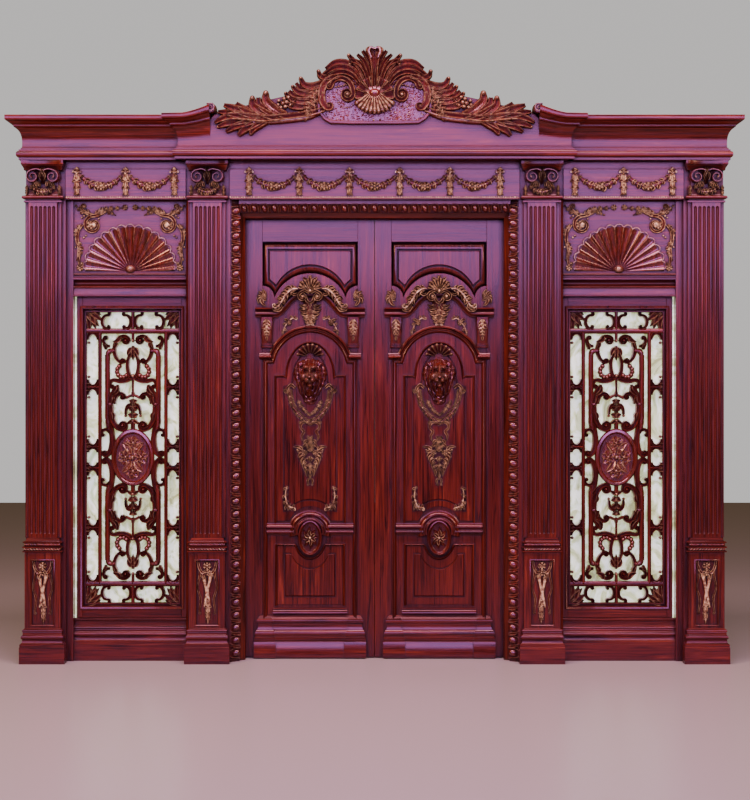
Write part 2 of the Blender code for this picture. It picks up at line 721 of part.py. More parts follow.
node("head_beam", box((-POST_OUT, POST_OUT), (0, POST_PROUD), (BEAM_Z, CORNICE_Z - SEAT)), MAHOGANY)

# ---------------------------------------------------------------- friezes


def frieze(x0, x1, swags, margin):
    """A frieze board with a bead along its foot, pendants and swags between them."""
    low = BEAM_Z - 0.006
    high = CORNICE_Z - SEAT
    back = POST_PROUD + SEAT
    face = back + FRIEZE_THICKNESS
    body = loft([[(x, back, low), (x, face, low), (x, face + 0.006, low + 0.006), (x, face, low + 0.013),
                  (x, face, high), (x, back, high)] for x in (x0, x1)])
    start = x0 + margin
    span = (x1 - x0 - 2 * margin) / swags
    drop_top = high - 0.038
    pieces = []
    for k in range(swags + 1):
        pieces.append(pendant(start + k * span, drop_top, low + 0.020, 0.040, face - 0.002))
    for k in range(swags):
        pieces.append(garland(start + k * span + 0.008, start + (k + 1) * span - 0.008,
                              drop_top - 0.022, 0.092, 0.046, face - 0.002, 0.5))
    return joined(body, pieces)


edge = PILASTER_WIDTH / 2 + 0.020
pair("frieze", frieze(-OUTER_AXIS + edge, -INNER_AXIS - edge, 2, 0.062), MAHOGANY)
node("frieze_centre", frieze(-INNER_AXIS + edge, INNER_AXIS - edge, 5, 0.106), MAHOGANY)

# ---------------------------------------------------------------- cornices and pediment

CENTRE_HALF = INNER_AXIS + PILASTER_WIDTH / 2 + 0.030
side_outline = [(-POST_OUT, 0, -1, 0), (-POST_OUT, SIDE_CORNICE_BASE, -1, 1),
                (-CENTRE_HALF - SEAT, SIDE_CORNICE_BASE, -1, 1), (-CENTRE_HALF - SEAT, 0, -1, 0)]
pair("cornice", moulded(side_outline, cornice_profile()), MAHOGANY)

SCROLL_X = INNER_AXIS - 0.022
SCROLL_RISE = 0.042
break_line = CORNICE_Z + 0.47 * CORNICE_HEIGHT
lower = moulded([(-CENTRE_HALF, 0, -1, 0), (-CENTRE_HALF, CENTRE_CORNICE_BASE, -1, 1),
                 (CENTRE_HALF, CENTRE_CORNICE_BASE, 1, 1), (CENTRE_HALF, 0, 1, 0)],
                cornice_profile(0.0, 0.47) + [(0.13 * CORNICE_REACH, break_line + 0.02)])
horns = []
for side in (-1, 1):
    horn = moulded([(side * CENTRE_HALF, 0, side, 0), (side * CENTRE_HALF, CENTRE_CORNICE_BASE, side, 1),
                    (side * SCROLL_X, CENTRE_CORNICE_BASE, 0, 1), (side * SCROLL_X, 0, 0, 0)],
                   cornice_profile(0.47, 1.0))
    for vertex in horn.data.vertices:
        if abs(vertex.co.x) < SCROLL_X + 0.001:
            vertex.co.z += SCROLL_RISE * (vertex.co.z - break_line) / (CORNICE_TOP - break_line)
    horns.append(horn)
    eye = (side * (SCROLL_X - 0.004), CORNICE_TOP + SCROLL_RISE - 0.012)
    horns.append(disc(eye, (0.030, 0.030), (CENTRE_CORNICE_BASE - 0.12, DEPTH - 0.002), 12))
field = [(-SCROLL_X - 0.010, break_line), (-SCROLL_X - 0.010, CORNICE_TOP - 0.03)]
for k in range(11):
    t = k / 10 * 2 - 1
    field.append((t * (SCROLL_X - 0.02), CORNICE_TOP + 0.004 + (TYMPANUM_RISE - 0.004) * (1 - abs(t) ** 1.6)))
field += [(SCROLL_X + 0.010, CORNICE_TOP - 0.03), (SCROLL_X + 0.010, break_line)]
TYMPANUM_FRONT = CENTRE_CORNICE_BASE + 0.13 * CORNICE_REACH
horns.append(plate(field, (CENTRE_CORNICE_BASE - 0.16, TYMPANUM_FRONT)))
node("pediment", joined(lower, horns), MAHOGANY)

# ---------------------------------------------------------------- crest


# the crest as it is drawn, in millimetres from its middle and from the cornice's top:
# the places of each strand, its widths there and its height as a share of them
CREST_SIZE = (880, 366)
CARTOUCHE = ((0, -52), (-226, -52), (-284, 6), (-300, 78), (-262, 163), (-160, 210), (0, 223))
MIDDLE_PLUME = (((0, 170), (0, 300), (0, 345), (0, 366)), (26, 52, 72, 28), 0.7)
CREST_STRANDS = (
    # plumes that open like a tulip
    (((5, 170), (20, 255), (65, 340)), (16, 28, 12), 1.3),
    (((40, 165), (85, 245), (145, 325)), (26, 40, 16), 1.1),
    (((60, 160), (115, 225), (185, 260), (250, 250), (275, 215)), (28, 50, 50, 36, 14), 0.8),
    # the scrolls that frame the cartouche
    (((100, 145), (155, 190), (235, 180), (275, 105), (250, 40), (220, 60)), (20, 32, 36, 40, 34, 32), 0.9),
    (((225, 130), (180, 175), (125, 140), (120, 75), (160, 60)), (14, 24, 28, 26, 34), 1.0),
    # the arm: its stem, the lobes above it and the leaves that hang from it
    (((270, 30), (380, 5), (580, -20), (760, -10), (840, -40)), (34, 36, 40, 40, 14), 0.8),
    (((265, 160), (370, 155), (395, 195)), (42, 40, 14), 0.8),
    (((275, 130), (400, 120), (435, 150)), (40, 40, 14), 0.8),
    (((280, 105), (430, 90), (475, 130)), (40, 42, 14), 0.8),
    (((275, 140), (310, 75), (350, 25), (385, -10)), (46, 72, 64, 16), 0.5),
    (((445, -5), (495, 60)), (34, 72), 0.6),
    (((535, -10), (590, 75), (575, 130)), (36, 50, 26), 0.7),
    (((590, -20), (660, 55), (655, 100)), (36, 50, 26), 0.7),
    (((640, -10), (765, 35), (825, 50)), (42, 54, 14), 0.6),
    (((640, -25), (710, -40), (805, -80)), (36, 46, 14), 0.7),
    (((590, -30), (705, -80), (725, -115)), (34, 42, 14), 0.7),
)


def crest():
    """The carved crest: a plumed cartouche with a shell, scrolls and long acanthus arms."""
    wide = SCROLL_X / CREST_SIZE[0]
    tall = CREST_RISE / CREST_SIZE[1]
    back = TYMPANUM_FRONT + SEAT
    board = back + CARTOUCHE_THICKNESS

    def spot(x, z):
        return (wide * x, CORNICE_TOP + tall * z)

    def strand(side, places, widths, height):
        run = [spot(side * x, z) for x, z in places]
        return carved(run, [tall * width for width in widths], back, height)

    body = plate([spot(x, z) for x, z in both(list(CARTOUCHE))], (back, board))
    rim = [(-0.010, back), (-0.010, board + 0.004), (0.002, board + 0.004), (0.002, back)]
    foot = [spot(x, z) for x, z in ((-284, 6), (-226, -52), (226, -52), (284, 6))]
    shell = scallop(spot(0, 98), 96 * tall, 9, 2 * pi, back, back + 0.052, back + 0.040, back + 0.026, 0.010)
    pieces = [sweep(foot, rim), shell, strand(1, *MIDDLE_PLUME)]
    for side in (-1, 1):
        for places, widths, height in CREST_STRANDS:
            pieces.append(strand(side, places, widths, height))
    return joined(body, pieces)


node("crest", crest(), CARVING)

# ---------------------------------------------------------------- sidelights

SASH_OUT = BAY_OUT - SASH_EDGE_SLIT
SASH_IN = BAY_IN + SEAT

rail_back = 0.020
rail_corner = [(-BAY_OUT + SEAT, rail_back, 0, 0), (-BAY_OUT + SEAT, BASE_RAIL_PROUD, 0, 1),
               (-BAY_IN - SEAT, BASE_RAIL_PROUD, 0, 1), (-BAY_IN - SEAT, rail_back, 0, 0)]
rail_top = [(0.0, PLINTH_BLOCK + BASE_MOULDING + 0.002), (0.0, SILL_HEIGHT - 0.014),
            (0.008, SILL_HEIGHT - 0.012), (0.008, SILL_HEIGHT - 0.004), (0.004, SILL_HEIGHT - SEAT)]
pair("base_rail", moulded(rail_corner, BASE_PROFILE + rail_top), MAHOGANY)

transom_corner = [(-BAY_OUT + SEAT, rail_back, 0, 0), (-BAY_OUT + SEAT, TRANSOM_PROUD, 0, 1),
                  (-BAY_IN - SEAT, TRANSOM_PROUD, 0, 1), (-BAY_IN - SEAT, rail_back, 0, 0)]
transom_run = ((0.006, 0.0), (0.006, 0.06), (0.0, 0.07), (-0.004, 0.34), (0.006, 0.36), (0.006, 0.42),
               (-0.016, 0.46), (-0.020, 0.60), (-0.006, 0.68), (0.012, 0.72), (0.012, 0.80),
               (0.002, 0.84), (0.002, 0.94), (0.012, 0.96), (0.012, 1.0))
pair("transom", moulded(transom_corner, [(d, TRANSOM_Z + SEAT + (TRANSOM_HEIGHT - SEAT) * s)
                                         for d, s in transom_run]), MAHOGANY)


def shell_panel():
    """The panel over a sidelight: a half-dome shell between two carved spandrels."""
    back = SASH_BACK
    face = PANEL_PROUD
    low = PANEL_Z + SEAT
    high = BEAM_Z - SEAT
    body = box((-BAY_OUT + SEAT, -BAY_IN - SEAT), (back, face), (low, high))
    x = -BAY_AXIS
    foot = low + 0.004
    radius = min(0.398 * BAY_WIDTH, 0.611 * SHELL_PANEL_HEIGHT)
    corner = radius * 0.906     # from the middle of the shell to its corner roundels
    level = radius * 1.069
    pieces = [scallop((x, foot), radius, 11, radians(176), face - 0.04, face + 0.030, face + 0.004,
                      face + 0.016, 0.012),
              disc((x, foot + 0.024), (0.024, 0.024), (face - 0.02, face + 0.036), 8)]
    for side in (-1, 1):
        cx = x + side * corner
        cz = low + level
        pieces.append(disc((cx, cz), (radius * 0.18, radius * 0.18), (face - 0.004, face + 0.010), 8))
        for x0, z0, x1, z1 in ((0.80, 1.245, 0.205, 1.367), (1.04, 0.980, 1.10, 0.245)):
            start = (x + side * radius * x0, low + radius * z0)
            end = (x + side * radius * x1, low + radius * z1)
            pieces.append(leaf(start, end, radius * 0.13, face - 0.002, side * 0.04))
    return joined(body, pieces)


pair("shell_panel", shell_panel(), CARVING)


def sash():
    """A sidelight sash: two stiles and two rails round one opening."""
    low = SASH_Z + SEAT
    high = SASH_Z + SASH_HEIGHT - SEAT
    body = box((-SASH_OUT, -SASH_IN), (SASH_BACK, SASH_FRONT), (low, high))
    hole = box((-SASH_OUT + SASH_STILE, -SASH_IN - SASH_STILE), (SASH_BACK - 0.01, SASH_FRONT + 0.01),
               (low + SASH_BOTTOM_RAIL, high - SASH_TOP_RAIL))
    return joined(body, [hole], "DIFFERENCE")


pair("sash", sash(), MAHOGANY)
pair("glass", box((-BAY_OUT + 0.002, -BAY_IN - 0.002),
                  (SASH_BACK - SEAT - GLASS_THICKNESS, SASH_BACK - SEAT),
                  (SASH_Z + 0.002, SASH_Z + SASH_HEIGHT - 0.002)), GLASS)


def grille():
    """The carved grille of a sidelight: one fretted board with a border, bars, scrolls and
    an oval boss, the same above and below its middle and on both sides."""
    left = -SASH_OUT + SASH_STILE + SEAT
    right = -SASH_IN - SASH_STILE - SEAT
    low = SASH_Z + SEAT + SASH_BOTTOM_RAIL + SEAT
    high = SASH_Z + SASH_HEIGHT - SEAT - SASH_TOP_RAIL - SEAT
    x0 = (left + right) / 2
    z0 = (low + high) / 2
    half = (right - left) / 2
    tall = (high - low) / 2
    back = GRILLE_BACK
    front = back + GRILLE_THICKNESS
    board = (back, front)
    rail_x = half * 0.695       # middles of the long bars and of the cross rails
    rail_z = tall * 0.851
    bar = half * 0.032
    end = half * 0.134          # width of the border across the foot and the head
    outlines = [span((left, left + GRILLE_BORDER), (low, high)),
                span((right - GRILLE_BORDER, right), (low, high)),
                span((left, right), (low, low + end)), span((left, right), (high - end, high))]
    for side in (-1, 1):
        middle = x0 + side * rail_x
        rail = z0 + side * rail_z
        outlines.append(span((middle - bar, middle + bar), (z0 - rail_z, z0 + rail_z)))
        outlines.append(span((x0 - rail_x, x0 + rail_x), (rail - bar * 1.5, rail + bar * 1.5)))
        outlines.append(span((x0 - bar * 1.2, x0 + bar * 1.2), sorted((rail, z0 + side * tall * 0.975))))
    # each scroll: places from the middle as shares of half the width and height, and
    # its widths as shares of half the width
    scrolls = [
        # acanthus that fills the corner
        ([(0.955, 0.965), (0.820, 0.915), (0.690, 0.845)], [0.100, 0.240, 0.090]),
        # ties that close the cells of the side strip
        ([(0.955, 0.459), (0.695, 0.459)], [0.056, 0.056]),
        ([(0.955, 0.076), (0.695, 0.076)], [0.056, 0.056]),
        # inner upright, its elbow and its curl beside the oval
        ([(0.338, 0.735), (0.520, 0.730), (0.520, 0.210), (0.437, 0.123), (0.593, 0.062)],
         [0.052, 0.056, 0.056, 0.067, 0.082]),
        # upper scroll, from its eye over and down
        ([(0.037, 0.799), (0.298, 0.833), (0.358, 0.727), (0.194, 0.660)], [0.097, 0.063, 0.075, 0.097]),
        # crossed ribbons and bracket arms
        ([(0.015, 0.709), (0.082, 0.610), (-0.388, 0.498)], [0.056, 0.049, 0.060]),
        # large scroll over the oval, and the strand inside it
        ([(0.321, 0.493), (0.478, 0.358), (0.291, 0.207), (0.142, 0.247)], [0.060, 0.075, 0.075, 0.104]),
        ([(0.388, 0.419), (0.224, 0.425), (0.007, 0.296)], [0.052, 0.075, 0.060])]
    for side in (-1, 1):
        for up in (-1, 1):
            for places, widths in scrolls:
                run = [(x0 + side * half * x, z0 + up * tall * z) for x, z in places]
                outlines += ribbon(run, [half * width for width in widths])
    for up in (-1, 1):
        for shares, widths in (((0.160, 0.290, 0.549), (0.134, 0.060, 0.037)),
                               ((0.616, 0.690, 0.851), (0.022, 0.104, 0.052))):
            outlines += ribbon([(x0, z0 + up * tall * z) for z in shares], [half * width for width in widths])
    fret = fretted(outlines, board)
    boss = [disc((x0, z0), (half * 0.425, tall * 0.192), (back + 0.001, front + 0.005), 14),
            scallop((x0, z0), half * 0.261, 5, 2 * pi, back + 0.006, front + 0.016, front + 0.014,
                    front + 0.011, 0.003)]
    return joined(fret, boss)


pair("grille", grille(), CARVING)

# ---------------------------------------------------------------- leaves

PIVOTS = []
for side in (-1, 1):
    pivot = bpy.data.objects.new("pivot_left" if side < 0 else "pivot_right", None)
    pivot.location = at(side * HINGE_X, HINGE_PROUD, 0.0)
    PARTS.objects.link(pivot)
    PIVOTS.append(pivot)

# panel places, from the panel axis and up from the foot of a leaf
UPPER_HALF = (STOP_X - LEAF_IN) / 2 - STILE_WIDTH
UPPER_TOP = LEAF_TOP - TOP_RAIL
UPPER_FOOT = UPPER_TOP - UPPER_PANEL
ARCH_RADIUS = UPPER_HALF - 0.042
UPPER_ARCH = UPPER_HALF - 0.050         # radius of the arch at the foot of the upper panel
ARCH_Z = UPPER_FOOT - 0.393             # centre of the arch over the main panel
SHOULDER_Z = ARCH_Z + 0.086
MAIN_HALF = UPPER_HALF - 0.007          # of the frame round the main panel
INNER_HALF = UPPER_HALF - 0.072         # of the frame inside it
LOWER_HALF = UPPER_HALF - 0.069
LOWER_FOOT = PLINTH_TOP + 0.044
LOWER_TOP = LOWER_FOOT + LOWER_PANEL


def arch_path(half, shoulder, foot, centre, radius):
    """A shouldered arch standing on its two feet, from the left foot to the right."""
    spring = (radius ** 2 - (shoulder - centre) ** 2) ** 0.5
    start = 180 - degrees(atan2(shoulder - centre, spring))
    left = [(-half, foot), (-half, shoulder)] + arc((0.0, centre), radius, start, 90, 3)
    return left + [(-x, z) for x, z in reversed(left[:-1])]


def arch_over(spring, radius, steps):
    """The left half of an arch that stands on its springing, up to its middle."""
    centre = spring[1] - (radius ** 2 - spring[0] ** 2) ** 0.5
    start = 180 - degrees(atan2(spring[1] - centre, spring[0]))
    return arc((0.0, centre), radius, start, 90, steps)


def door_leaf():
    """A leaf with its sunk upper panel, arched middle panel and lower panel."""
    x = -PANEL_AXIS
    low = FLOOR_GAP
    body = loft([[(-LEAF_OUT, LEAF_BACK, z), (-LEAF_OUT, LEAF_FRONT, z),
                  (-LEAF_IN - MEETING_BEVEL, LEAF_FRONT, z), (-LEAF_IN, LEAF_BACK, z)]
                 for z in (low, LEAF_TOP)])
    face = LEAF_FRONT
    sunk = 0.016
    foot = UPPER_FOOT
    ear = UPPER_HALF / 4
    spring = (UPPER_HALF - ear, foot)
    pocket = both(list(reversed(arch_over(spring, UPPER_ARCH, 4)))
                  + arc((-UPPER_HALF, foot), ear, 0, 90, 2)[1:]
                  + [(-UPPER_HALF, UPPER_TOP), (0.0, UPPER_TOP)])
    body = joined(body, [plate(shifted(pocket, x), (face - sunk, face + 0.01))], "DIFFERENCE")
    inner = UPPER_HALF - 0.037
    spring = (inner - 0.038, foot + ear)
    field = both(list(reversed(arch_over(spring, UPPER_ARCH - 0.002, 3)))
                 + [(-inner, foot + ear + 0.036), (-inner, UPPER_TOP - 0.049), (0.0, UPPER_TOP - 0.049)])
    pieces = [plate(shifted(field, x), (face - sunk - 0.004, face + 0.002), 0.005)]
    bead = [(-0.008, face - 0.006), (-0.004, face + 0.013), (0.004, face + 0.013), (0.009, face - 0.006)]
    outer = arch_path(MAIN_HALF, SHOULDER_Z - 0.050, PLINTH_TOP + 0.004, ARCH_Z, ARCH_RADIUS - 0.045)
    pieces.append(sweep(shifted(outer, x), bead))
    middle = arch_path(INNER_HALF, SHOULDER_Z - 0.130, LOWER_TOP + 0.110, ARCH_Z - 0.010, ARCH_RADIUS - 0.055)
    pieces.append(sweep(shifted(middle, x), bead))
    dip = arc((0.0, LOWER_TOP + 0.024), 0.112, 192, 270, 2)
    lower = both([(0.0, LOWER_FOOT), (-LOWER_HALF, LOWER_FOOT), (-LOWER_HALF, LOWER_TOP)] + dip)
    pieces.append(sweep(shifted(lower, x), bead, closed=True))
    field = LOWER_HALF - 0.055
    scoop = both([(0.0, LOWER_FOOT + 0.054), (-field, LOWER_FOOT + 0.054), (-field, LOWER_TOP - 0.054),
                  (-0.112, LOWER_TOP - 0.054), (-0.080, LOWER_TOP - 0.112), (0.0, LOWER_TOP - 0.142)])
    pieces.append(plate(shifted(scoop, x), (face - 0.008, face + 0.010), 0.005))
    return joined(body, pieces)


def leaf_crown():
    """The swan-neck moulding between the upper panels, with its shell, scrolls and drop,
    and the arch moulding on its two corbels."""
    x = -PANEL_AXIS
    back = LEAF_FRONT + SEAT
    section = [(-0.026, back), (-0.026, back + 0.014), (0.0, back + 0.024), (0.026, back + 0.038),
               (0.026, back)]
    top = UPPER_FOOT
    ogee = [(-UPPER_HALF - 0.038, top - 0.086), (-0.190, top - 0.086), (-0.150, top - 0.068),
            (-0.110, top - 0.022), (-0.066, top + 0.022), (0.0, top + 0.040)]
    path = ogee + [(-px, pz) for px, pz in reversed(ogee[:-1])]
    body = sweep(shifted(path, x), section)
    bend = ARCH_RADIUS - 0.008
    arch = [(-UPPER_HALF - 0.014, SHOULDER_Z - 0.012), (0.019 - ARCH_RADIUS, SHOULDER_Z - 0.012)]
    arch += arc((0.0, ARCH_Z), bend, 158, 90, 3)[1:]
    arch += [(-px, pz) for px, pz in reversed(arch[:-1])]
    rim = [(-0.020, back), (-0.020, back + 0.012), (0.010, back + 0.030), (0.014, back)]
    pieces = [sweep(shifted(arch, x), rim)]
    for side in (-1, 1):
        cx = x + side * (UPPER_HALF - 0.025)
        corbel = ((0.026, 0.012, SHOULDER_Z - 0.004), (0.026, 0.016, top - 0.250),
                  (0.034, 0.034, top - 0.108))
        pieces.append(loft([[(cx - half, back, z), (cx - half, back + out, z),
                             (cx + half, back + out, z), (cx + half, back, z)]
                            for half, out, z in corbel]))
        scroll = [(0.014, 0.038), (0.060, 0.038), (0.078, 0.004), (0.058, -0.034), (0.030, -0.012)]
        pieces.append(carved([(x + side * px, top + pz) for px, pz in scroll],
                             [0.020, 0.026, 0.026, 0.024, 0.026], back, 2.0))
        edge = UPPER_HALF + 0.023
        sprigs = ((0.070, 0.030, 0.190, -0.020, 0.060, 0.8), (edge - 0.040, -0.068, edge, 0.035, 0.034, 1.0),
                  (0.020, -0.086, 0.175, -0.190, 0.034, 0.5))
        for x0, z0, x1, z1, wide, height in sprigs:
            pieces.append(leaf((x + side * x0, top + z0), (x + side * x1, top + z1), wide, back,
                               side * 0.15, height))
    pieces.append(scallop((x, top + 0.040), 0.052, 5, radians(220), back, back + 0.052, back + 0.048,
                          back + 0.044, 0.008))
    pieces.append(carved([(x, top + z) for z in (0.030, -0.060, -0.176)], [0.040, 0.096, 0.012], back, 0.4))
    return joined(body, pieces)


def leaf_carving():
    """The lion mask with its shell, crossed festoons and the bouquet under it."""
    x = -PANEL_AXIS
    back = LEAF_FRONT + SEAT
    eye = UPPER_FOOT - 0.4195
    hang = eye - LOWER_TOP
    body = scallop((x, eye + 0.075), 0.092, 5, radians(210), back, back + 0.040, back + 0.030, back + 0.022,
                   0.008)
    pieces = [
        loft([[(x + w * cos(a), back + d, eye + up + h * sin(a)) for a in (2 * pi * k / 8 for k in range(8))]
              for w, h, up, d in ((0.092, 0.120, -0.020, 0.0), (0.104, 0.128, -0.022, 0.020),
                                  (0.060, 0.075, -0.010, 0.066))]),
        ball((x, back + 0.060, eye + 0.004), (0.052, 0.046, 0.060), 8, 4),
        ball((x, back + 0.096, eye - 0.020), (0.028, 0.028, 0.026), 6, 4),
        leaf((x, eye - 0.060), (x, eye - 0.196), 0.120, back, 0.0, 0.35)]
    for side in (-1, 1):
        strand = [(0.045, 0.078), (0.142, 0.110), (0.108, 0.209), (0.000, 0.288), (-0.040, 0.318),
                  (-0.034, 0.365), (0.000, 0.399)]
        pieces.append(carved([(x + side * px, eye - hang * drop) for px, drop in strand],
                             [0.030, 0.026, 0.036, 0.022, 0.016, 0.014, 0.016], back))
        for x0, low, x1, high in ((0.006, 0.510, 0.094, 0.446), (0.004, 0.585, 0.064, 0.542)):
            start = (x + side * x0, eye - hang * low)
            end = (x + side * x1, eye - hang * high)
            pieces.append(leaf(start, end, 0.046, back, side * 0.2))
    pieces.append(carved([(x, eye - hang * drop) for drop in (0.386, 0.462, 0.5475, 0.671)],
                         [0.032, 0.044, 0.070, 0.004], back, 0.4))
    return joined(body, pieces)


def leaf_rosette():
    """The arched rail between the panels, with the oval rosette under its arch."""
    x = -PANEL_AXIS
    back = LEAF_FRONT + SEAT
    z = LOWER_TOP + 0.060
    section = [(-0.024, back), (-0.024, back + 0.016), (0.002, back + 0.036), (0.014, back + 0.034),
               (0.026, back + 0.014), (0.026, back)]
    spring = 0.083
    run = [(-MAIN_HALF + 0.020, z - 0.004), (-spring, z - 0.004)]
    run += arc((0.0, z - 0.020), 0.092, 168, 90, 3)[1:]
    path = run + [(-px, pz) for px, pz in reversed(run[:-1])]
    body = sweep(shifted(path, x), section)
    pieces = [disc((x, z - 0.036), (0.064, 0.098), (back, back + 0.016), 14),
              scallop((x, z - 0.036), 0.040, 5, 2 * pi, back, back + 0.030, back + 0.028, back + 0.024,
                      0.006)]
    return joined(body, pieces)


def leaf_plinth():
    """The plinth across the foot of a leaf, with a break forward in its middle."""
    x = -PANEL_AXIS
    back = LEAF_FRONT + SEAT
    end = UPPER_HALF + 0.028
    step = UPPER_HALF - 0.062
    proud = back + 0.012
    out = proud + 0.010
    outline = [(x - end, back, -1, 0), (x - end, proud, -1, 1), (x - step, proud, -1, 1),
               (x - step, out, -1, 1), (x + step, out, 1, 1), (x + step, proud, 1, 1),
               (x + end, proud, 1, 1), (x + end, back, 1, 0)]
    low = FLOOR_GAP + 0.002
    run = ((0.014, 0.0), (0.014, 0.465), (0.018, 0.490), (0.018, 0.545), (0.010, 0.570), (0.018, 0.640),
           (0.0, 0.735), (0.0, 0.880), (0.010, 0.920), (0.010, 0.975), (-0.004, 1.0))
    return moulded(outline, [(d, low + (PLINTH_TOP - low) * share) for d, share in run])


pair("leaf", door_leaf(), MAHOGANY, PIVOTS)
pair("leaf_crown", leaf_crown(), CARVING, PIVOTS)
pair("leaf_carving", leaf_carving(), CARVING, PIVOTS)
pair("leaf_rosette", leaf_rosette(), CARVING, PIVOTS)
pair("leaf_plinth", leaf_plinth(), MAHOGANY, PIVOTS)

# ---------------------------------------------------------------- hinges


def hinge_halves(z):
    """The frame half with its pin, and the leaf half with its bored middle knuckle."""
    third = HINGE_HEIGHT / 3
    low = z - HINGE_HEIGHT / 2
    high = z + HINGE_HEIGHT / 2
    x = -HINGE_X
    plate_in = HINGE_PROUD - KNUCKLE_RADIUS * 0.4
    plate_out = LEAF_BACK + HINGE_PLATE_WIDTH
    frame_x = (-REBATE_X + SEAT, -REBATE_X + SEAT + HINGE_PLATE)
    leaf_x = (-LEAF_OUT - SEAT - HINGE_PLATE, -LEAF_OUT - SEAT)
    bore = PIN_RADIUS + PIN_CLEARANCE
    frame = box(frame_x, (LEAF_BACK + 0.002, plate_out), (low, high))
    frame = joined(frame, [
        drum(x, HINGE_PROUD, (low, low + third - SEAT), KNUCKLE_RADIUS),
        drum(x, HINGE_PROUD, (high - third + SEAT, high), KNUCKLE_RADIUS),
        drum(x, HINGE_PROUD, (low + 0.002, high - 0.002), PIN_RADIUS),
        box(frame_x, (plate_in, LEAF_BACK + 0.004), (low, low + third - SEAT)),
        box(frame_x, (plate_in, LEAF_BACK + 0.004), (high - third + SEAT, high))])
    swing = box(leaf_x, (LEAF_BACK + 0.002, plate_out), (low, high))
    swing = joined(swing, [drum(x, HINGE_PROUD, (low + third, high - third), KNUCKLE_RADIUS),
                           box(leaf_x, (plate_in, LEAF_BACK + 0.004), (low + third, high - third))])
    swing = joined(swing, [drum(x, HINGE_PROUD, (low, high), bore)], "DIFFERENCE")
    return frame, swing


for k in range(HINGES):
    height = FLOOR_GAP + HINGE_END + (LEAF_HEIGHT - 2 * HINGE_END) * k / (HINGES - 1)
    frame_half, leaf_half = hinge_halves(height)
    pair(f"hinge_{k + 1}_frame", frame_half, STEEL)
    pair(f"hinge_{k + 1}_leaf", leaf_half, STEEL, PIVOTS)
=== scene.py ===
"""Looks of a carved double entrance door with glazed sidelights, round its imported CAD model.

Places are given as x across, p proud of the wall side and z up, in metres, and the left-hand
pieces are made first: the right-hand ones are their mirror images.
"""

import random
from math import atan2, cos, degrees, pi, radians, sin

import bmesh
import bpy
import numpy as np
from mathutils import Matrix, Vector
from mathutils.geometry import tessellate_polygon


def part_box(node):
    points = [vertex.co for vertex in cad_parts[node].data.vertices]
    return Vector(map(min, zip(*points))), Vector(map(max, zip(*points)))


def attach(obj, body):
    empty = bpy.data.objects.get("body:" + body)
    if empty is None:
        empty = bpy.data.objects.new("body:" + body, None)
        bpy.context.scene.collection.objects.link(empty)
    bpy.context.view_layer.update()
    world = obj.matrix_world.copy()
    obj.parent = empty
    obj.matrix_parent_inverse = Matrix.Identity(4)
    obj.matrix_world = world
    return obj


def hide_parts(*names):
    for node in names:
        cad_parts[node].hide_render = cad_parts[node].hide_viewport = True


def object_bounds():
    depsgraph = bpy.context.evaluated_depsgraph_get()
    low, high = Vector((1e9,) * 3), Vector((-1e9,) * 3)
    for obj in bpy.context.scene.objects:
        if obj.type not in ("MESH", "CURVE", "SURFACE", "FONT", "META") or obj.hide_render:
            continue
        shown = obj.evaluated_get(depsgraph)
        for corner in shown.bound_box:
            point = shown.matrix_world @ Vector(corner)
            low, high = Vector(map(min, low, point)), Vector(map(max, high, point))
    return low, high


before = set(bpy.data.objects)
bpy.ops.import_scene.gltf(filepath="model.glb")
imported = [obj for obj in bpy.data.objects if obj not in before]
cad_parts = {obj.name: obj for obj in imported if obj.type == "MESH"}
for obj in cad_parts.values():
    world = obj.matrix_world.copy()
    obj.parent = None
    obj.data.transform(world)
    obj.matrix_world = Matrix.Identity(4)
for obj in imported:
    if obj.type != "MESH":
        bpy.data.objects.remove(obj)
cad_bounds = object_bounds()

DEPTH = cad_bounds[1][1] - cad_bounds[0][1]


def limits(node):
    """Lowest and highest corner of a CAD node as (x, p, z)."""
    low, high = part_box(node)
    return (low.x, DEPTH / 2 - high.y, low.z), (high.x, DEPTH / 2 - low.y, high.z)


# ---------------------------------------------------------------- materials


def new_material(name):
    """A new material, its nodes, its links and its shader."""
    made = bpy.data.materials.new(name)
    made.use_nodes = True
    tree = made.node_tree
    return made, tree.nodes, tree.links, tree.nodes["Principled BSDF"]


def feed(links, slot, value):
    """Feeds an input from a socket or with a constant."""
    if hasattr(value, "is_output"):
        links.new(value, slot)
    else:
        slot.default_value = value


def ramp(nodes, links, source, stops):
    """Colours over a source, from stops of (place, colour)."""
    made = nodes.new("ShaderNodeValToRGB")
    first, last = made.color_ramp.elements
    for element, (place, colour) in ((first, stops[0]), (last, stops[-1])):
        element.position = place
        element.color = (*colour, 1.0)
    for place, colour in stops[1:-1]:
        made.color_ramp.elements.new(place).color = (*colour, 1.0)
    links.new(source, made.inputs["Fac"])
    return made.outputs["Color"]


def noise(nodes, links, place, scale, stretch, detail=4.0, distortion=0.0):
    """Noise on object coordinates, stretched by its own scale along each axis."""
    mapping = nodes.new("ShaderNodeMapping")
    mapping.inputs["Scale"].default_value = stretch
    links.new(place.outputs["Object"], mapping.inputs["Vector"])
    made = nodes.new("ShaderNodeTexNoise")
    made.inputs["Scale"].default_value = scale
    made.inputs["Detail"].default_value = detail
    made.inputs["Roughness"].default_value = 0.6
    made.inputs["Distortion"].default_value = distortion
    links.new(mapping.outputs["Vector"], made.inputs["Vector"])
    return made.outputs["Fac"]


MIX_FIRST, MIX_SECOND = 6, 7    # colour inputs of a mix node
MIX_RESULT = 2                  # its colour output


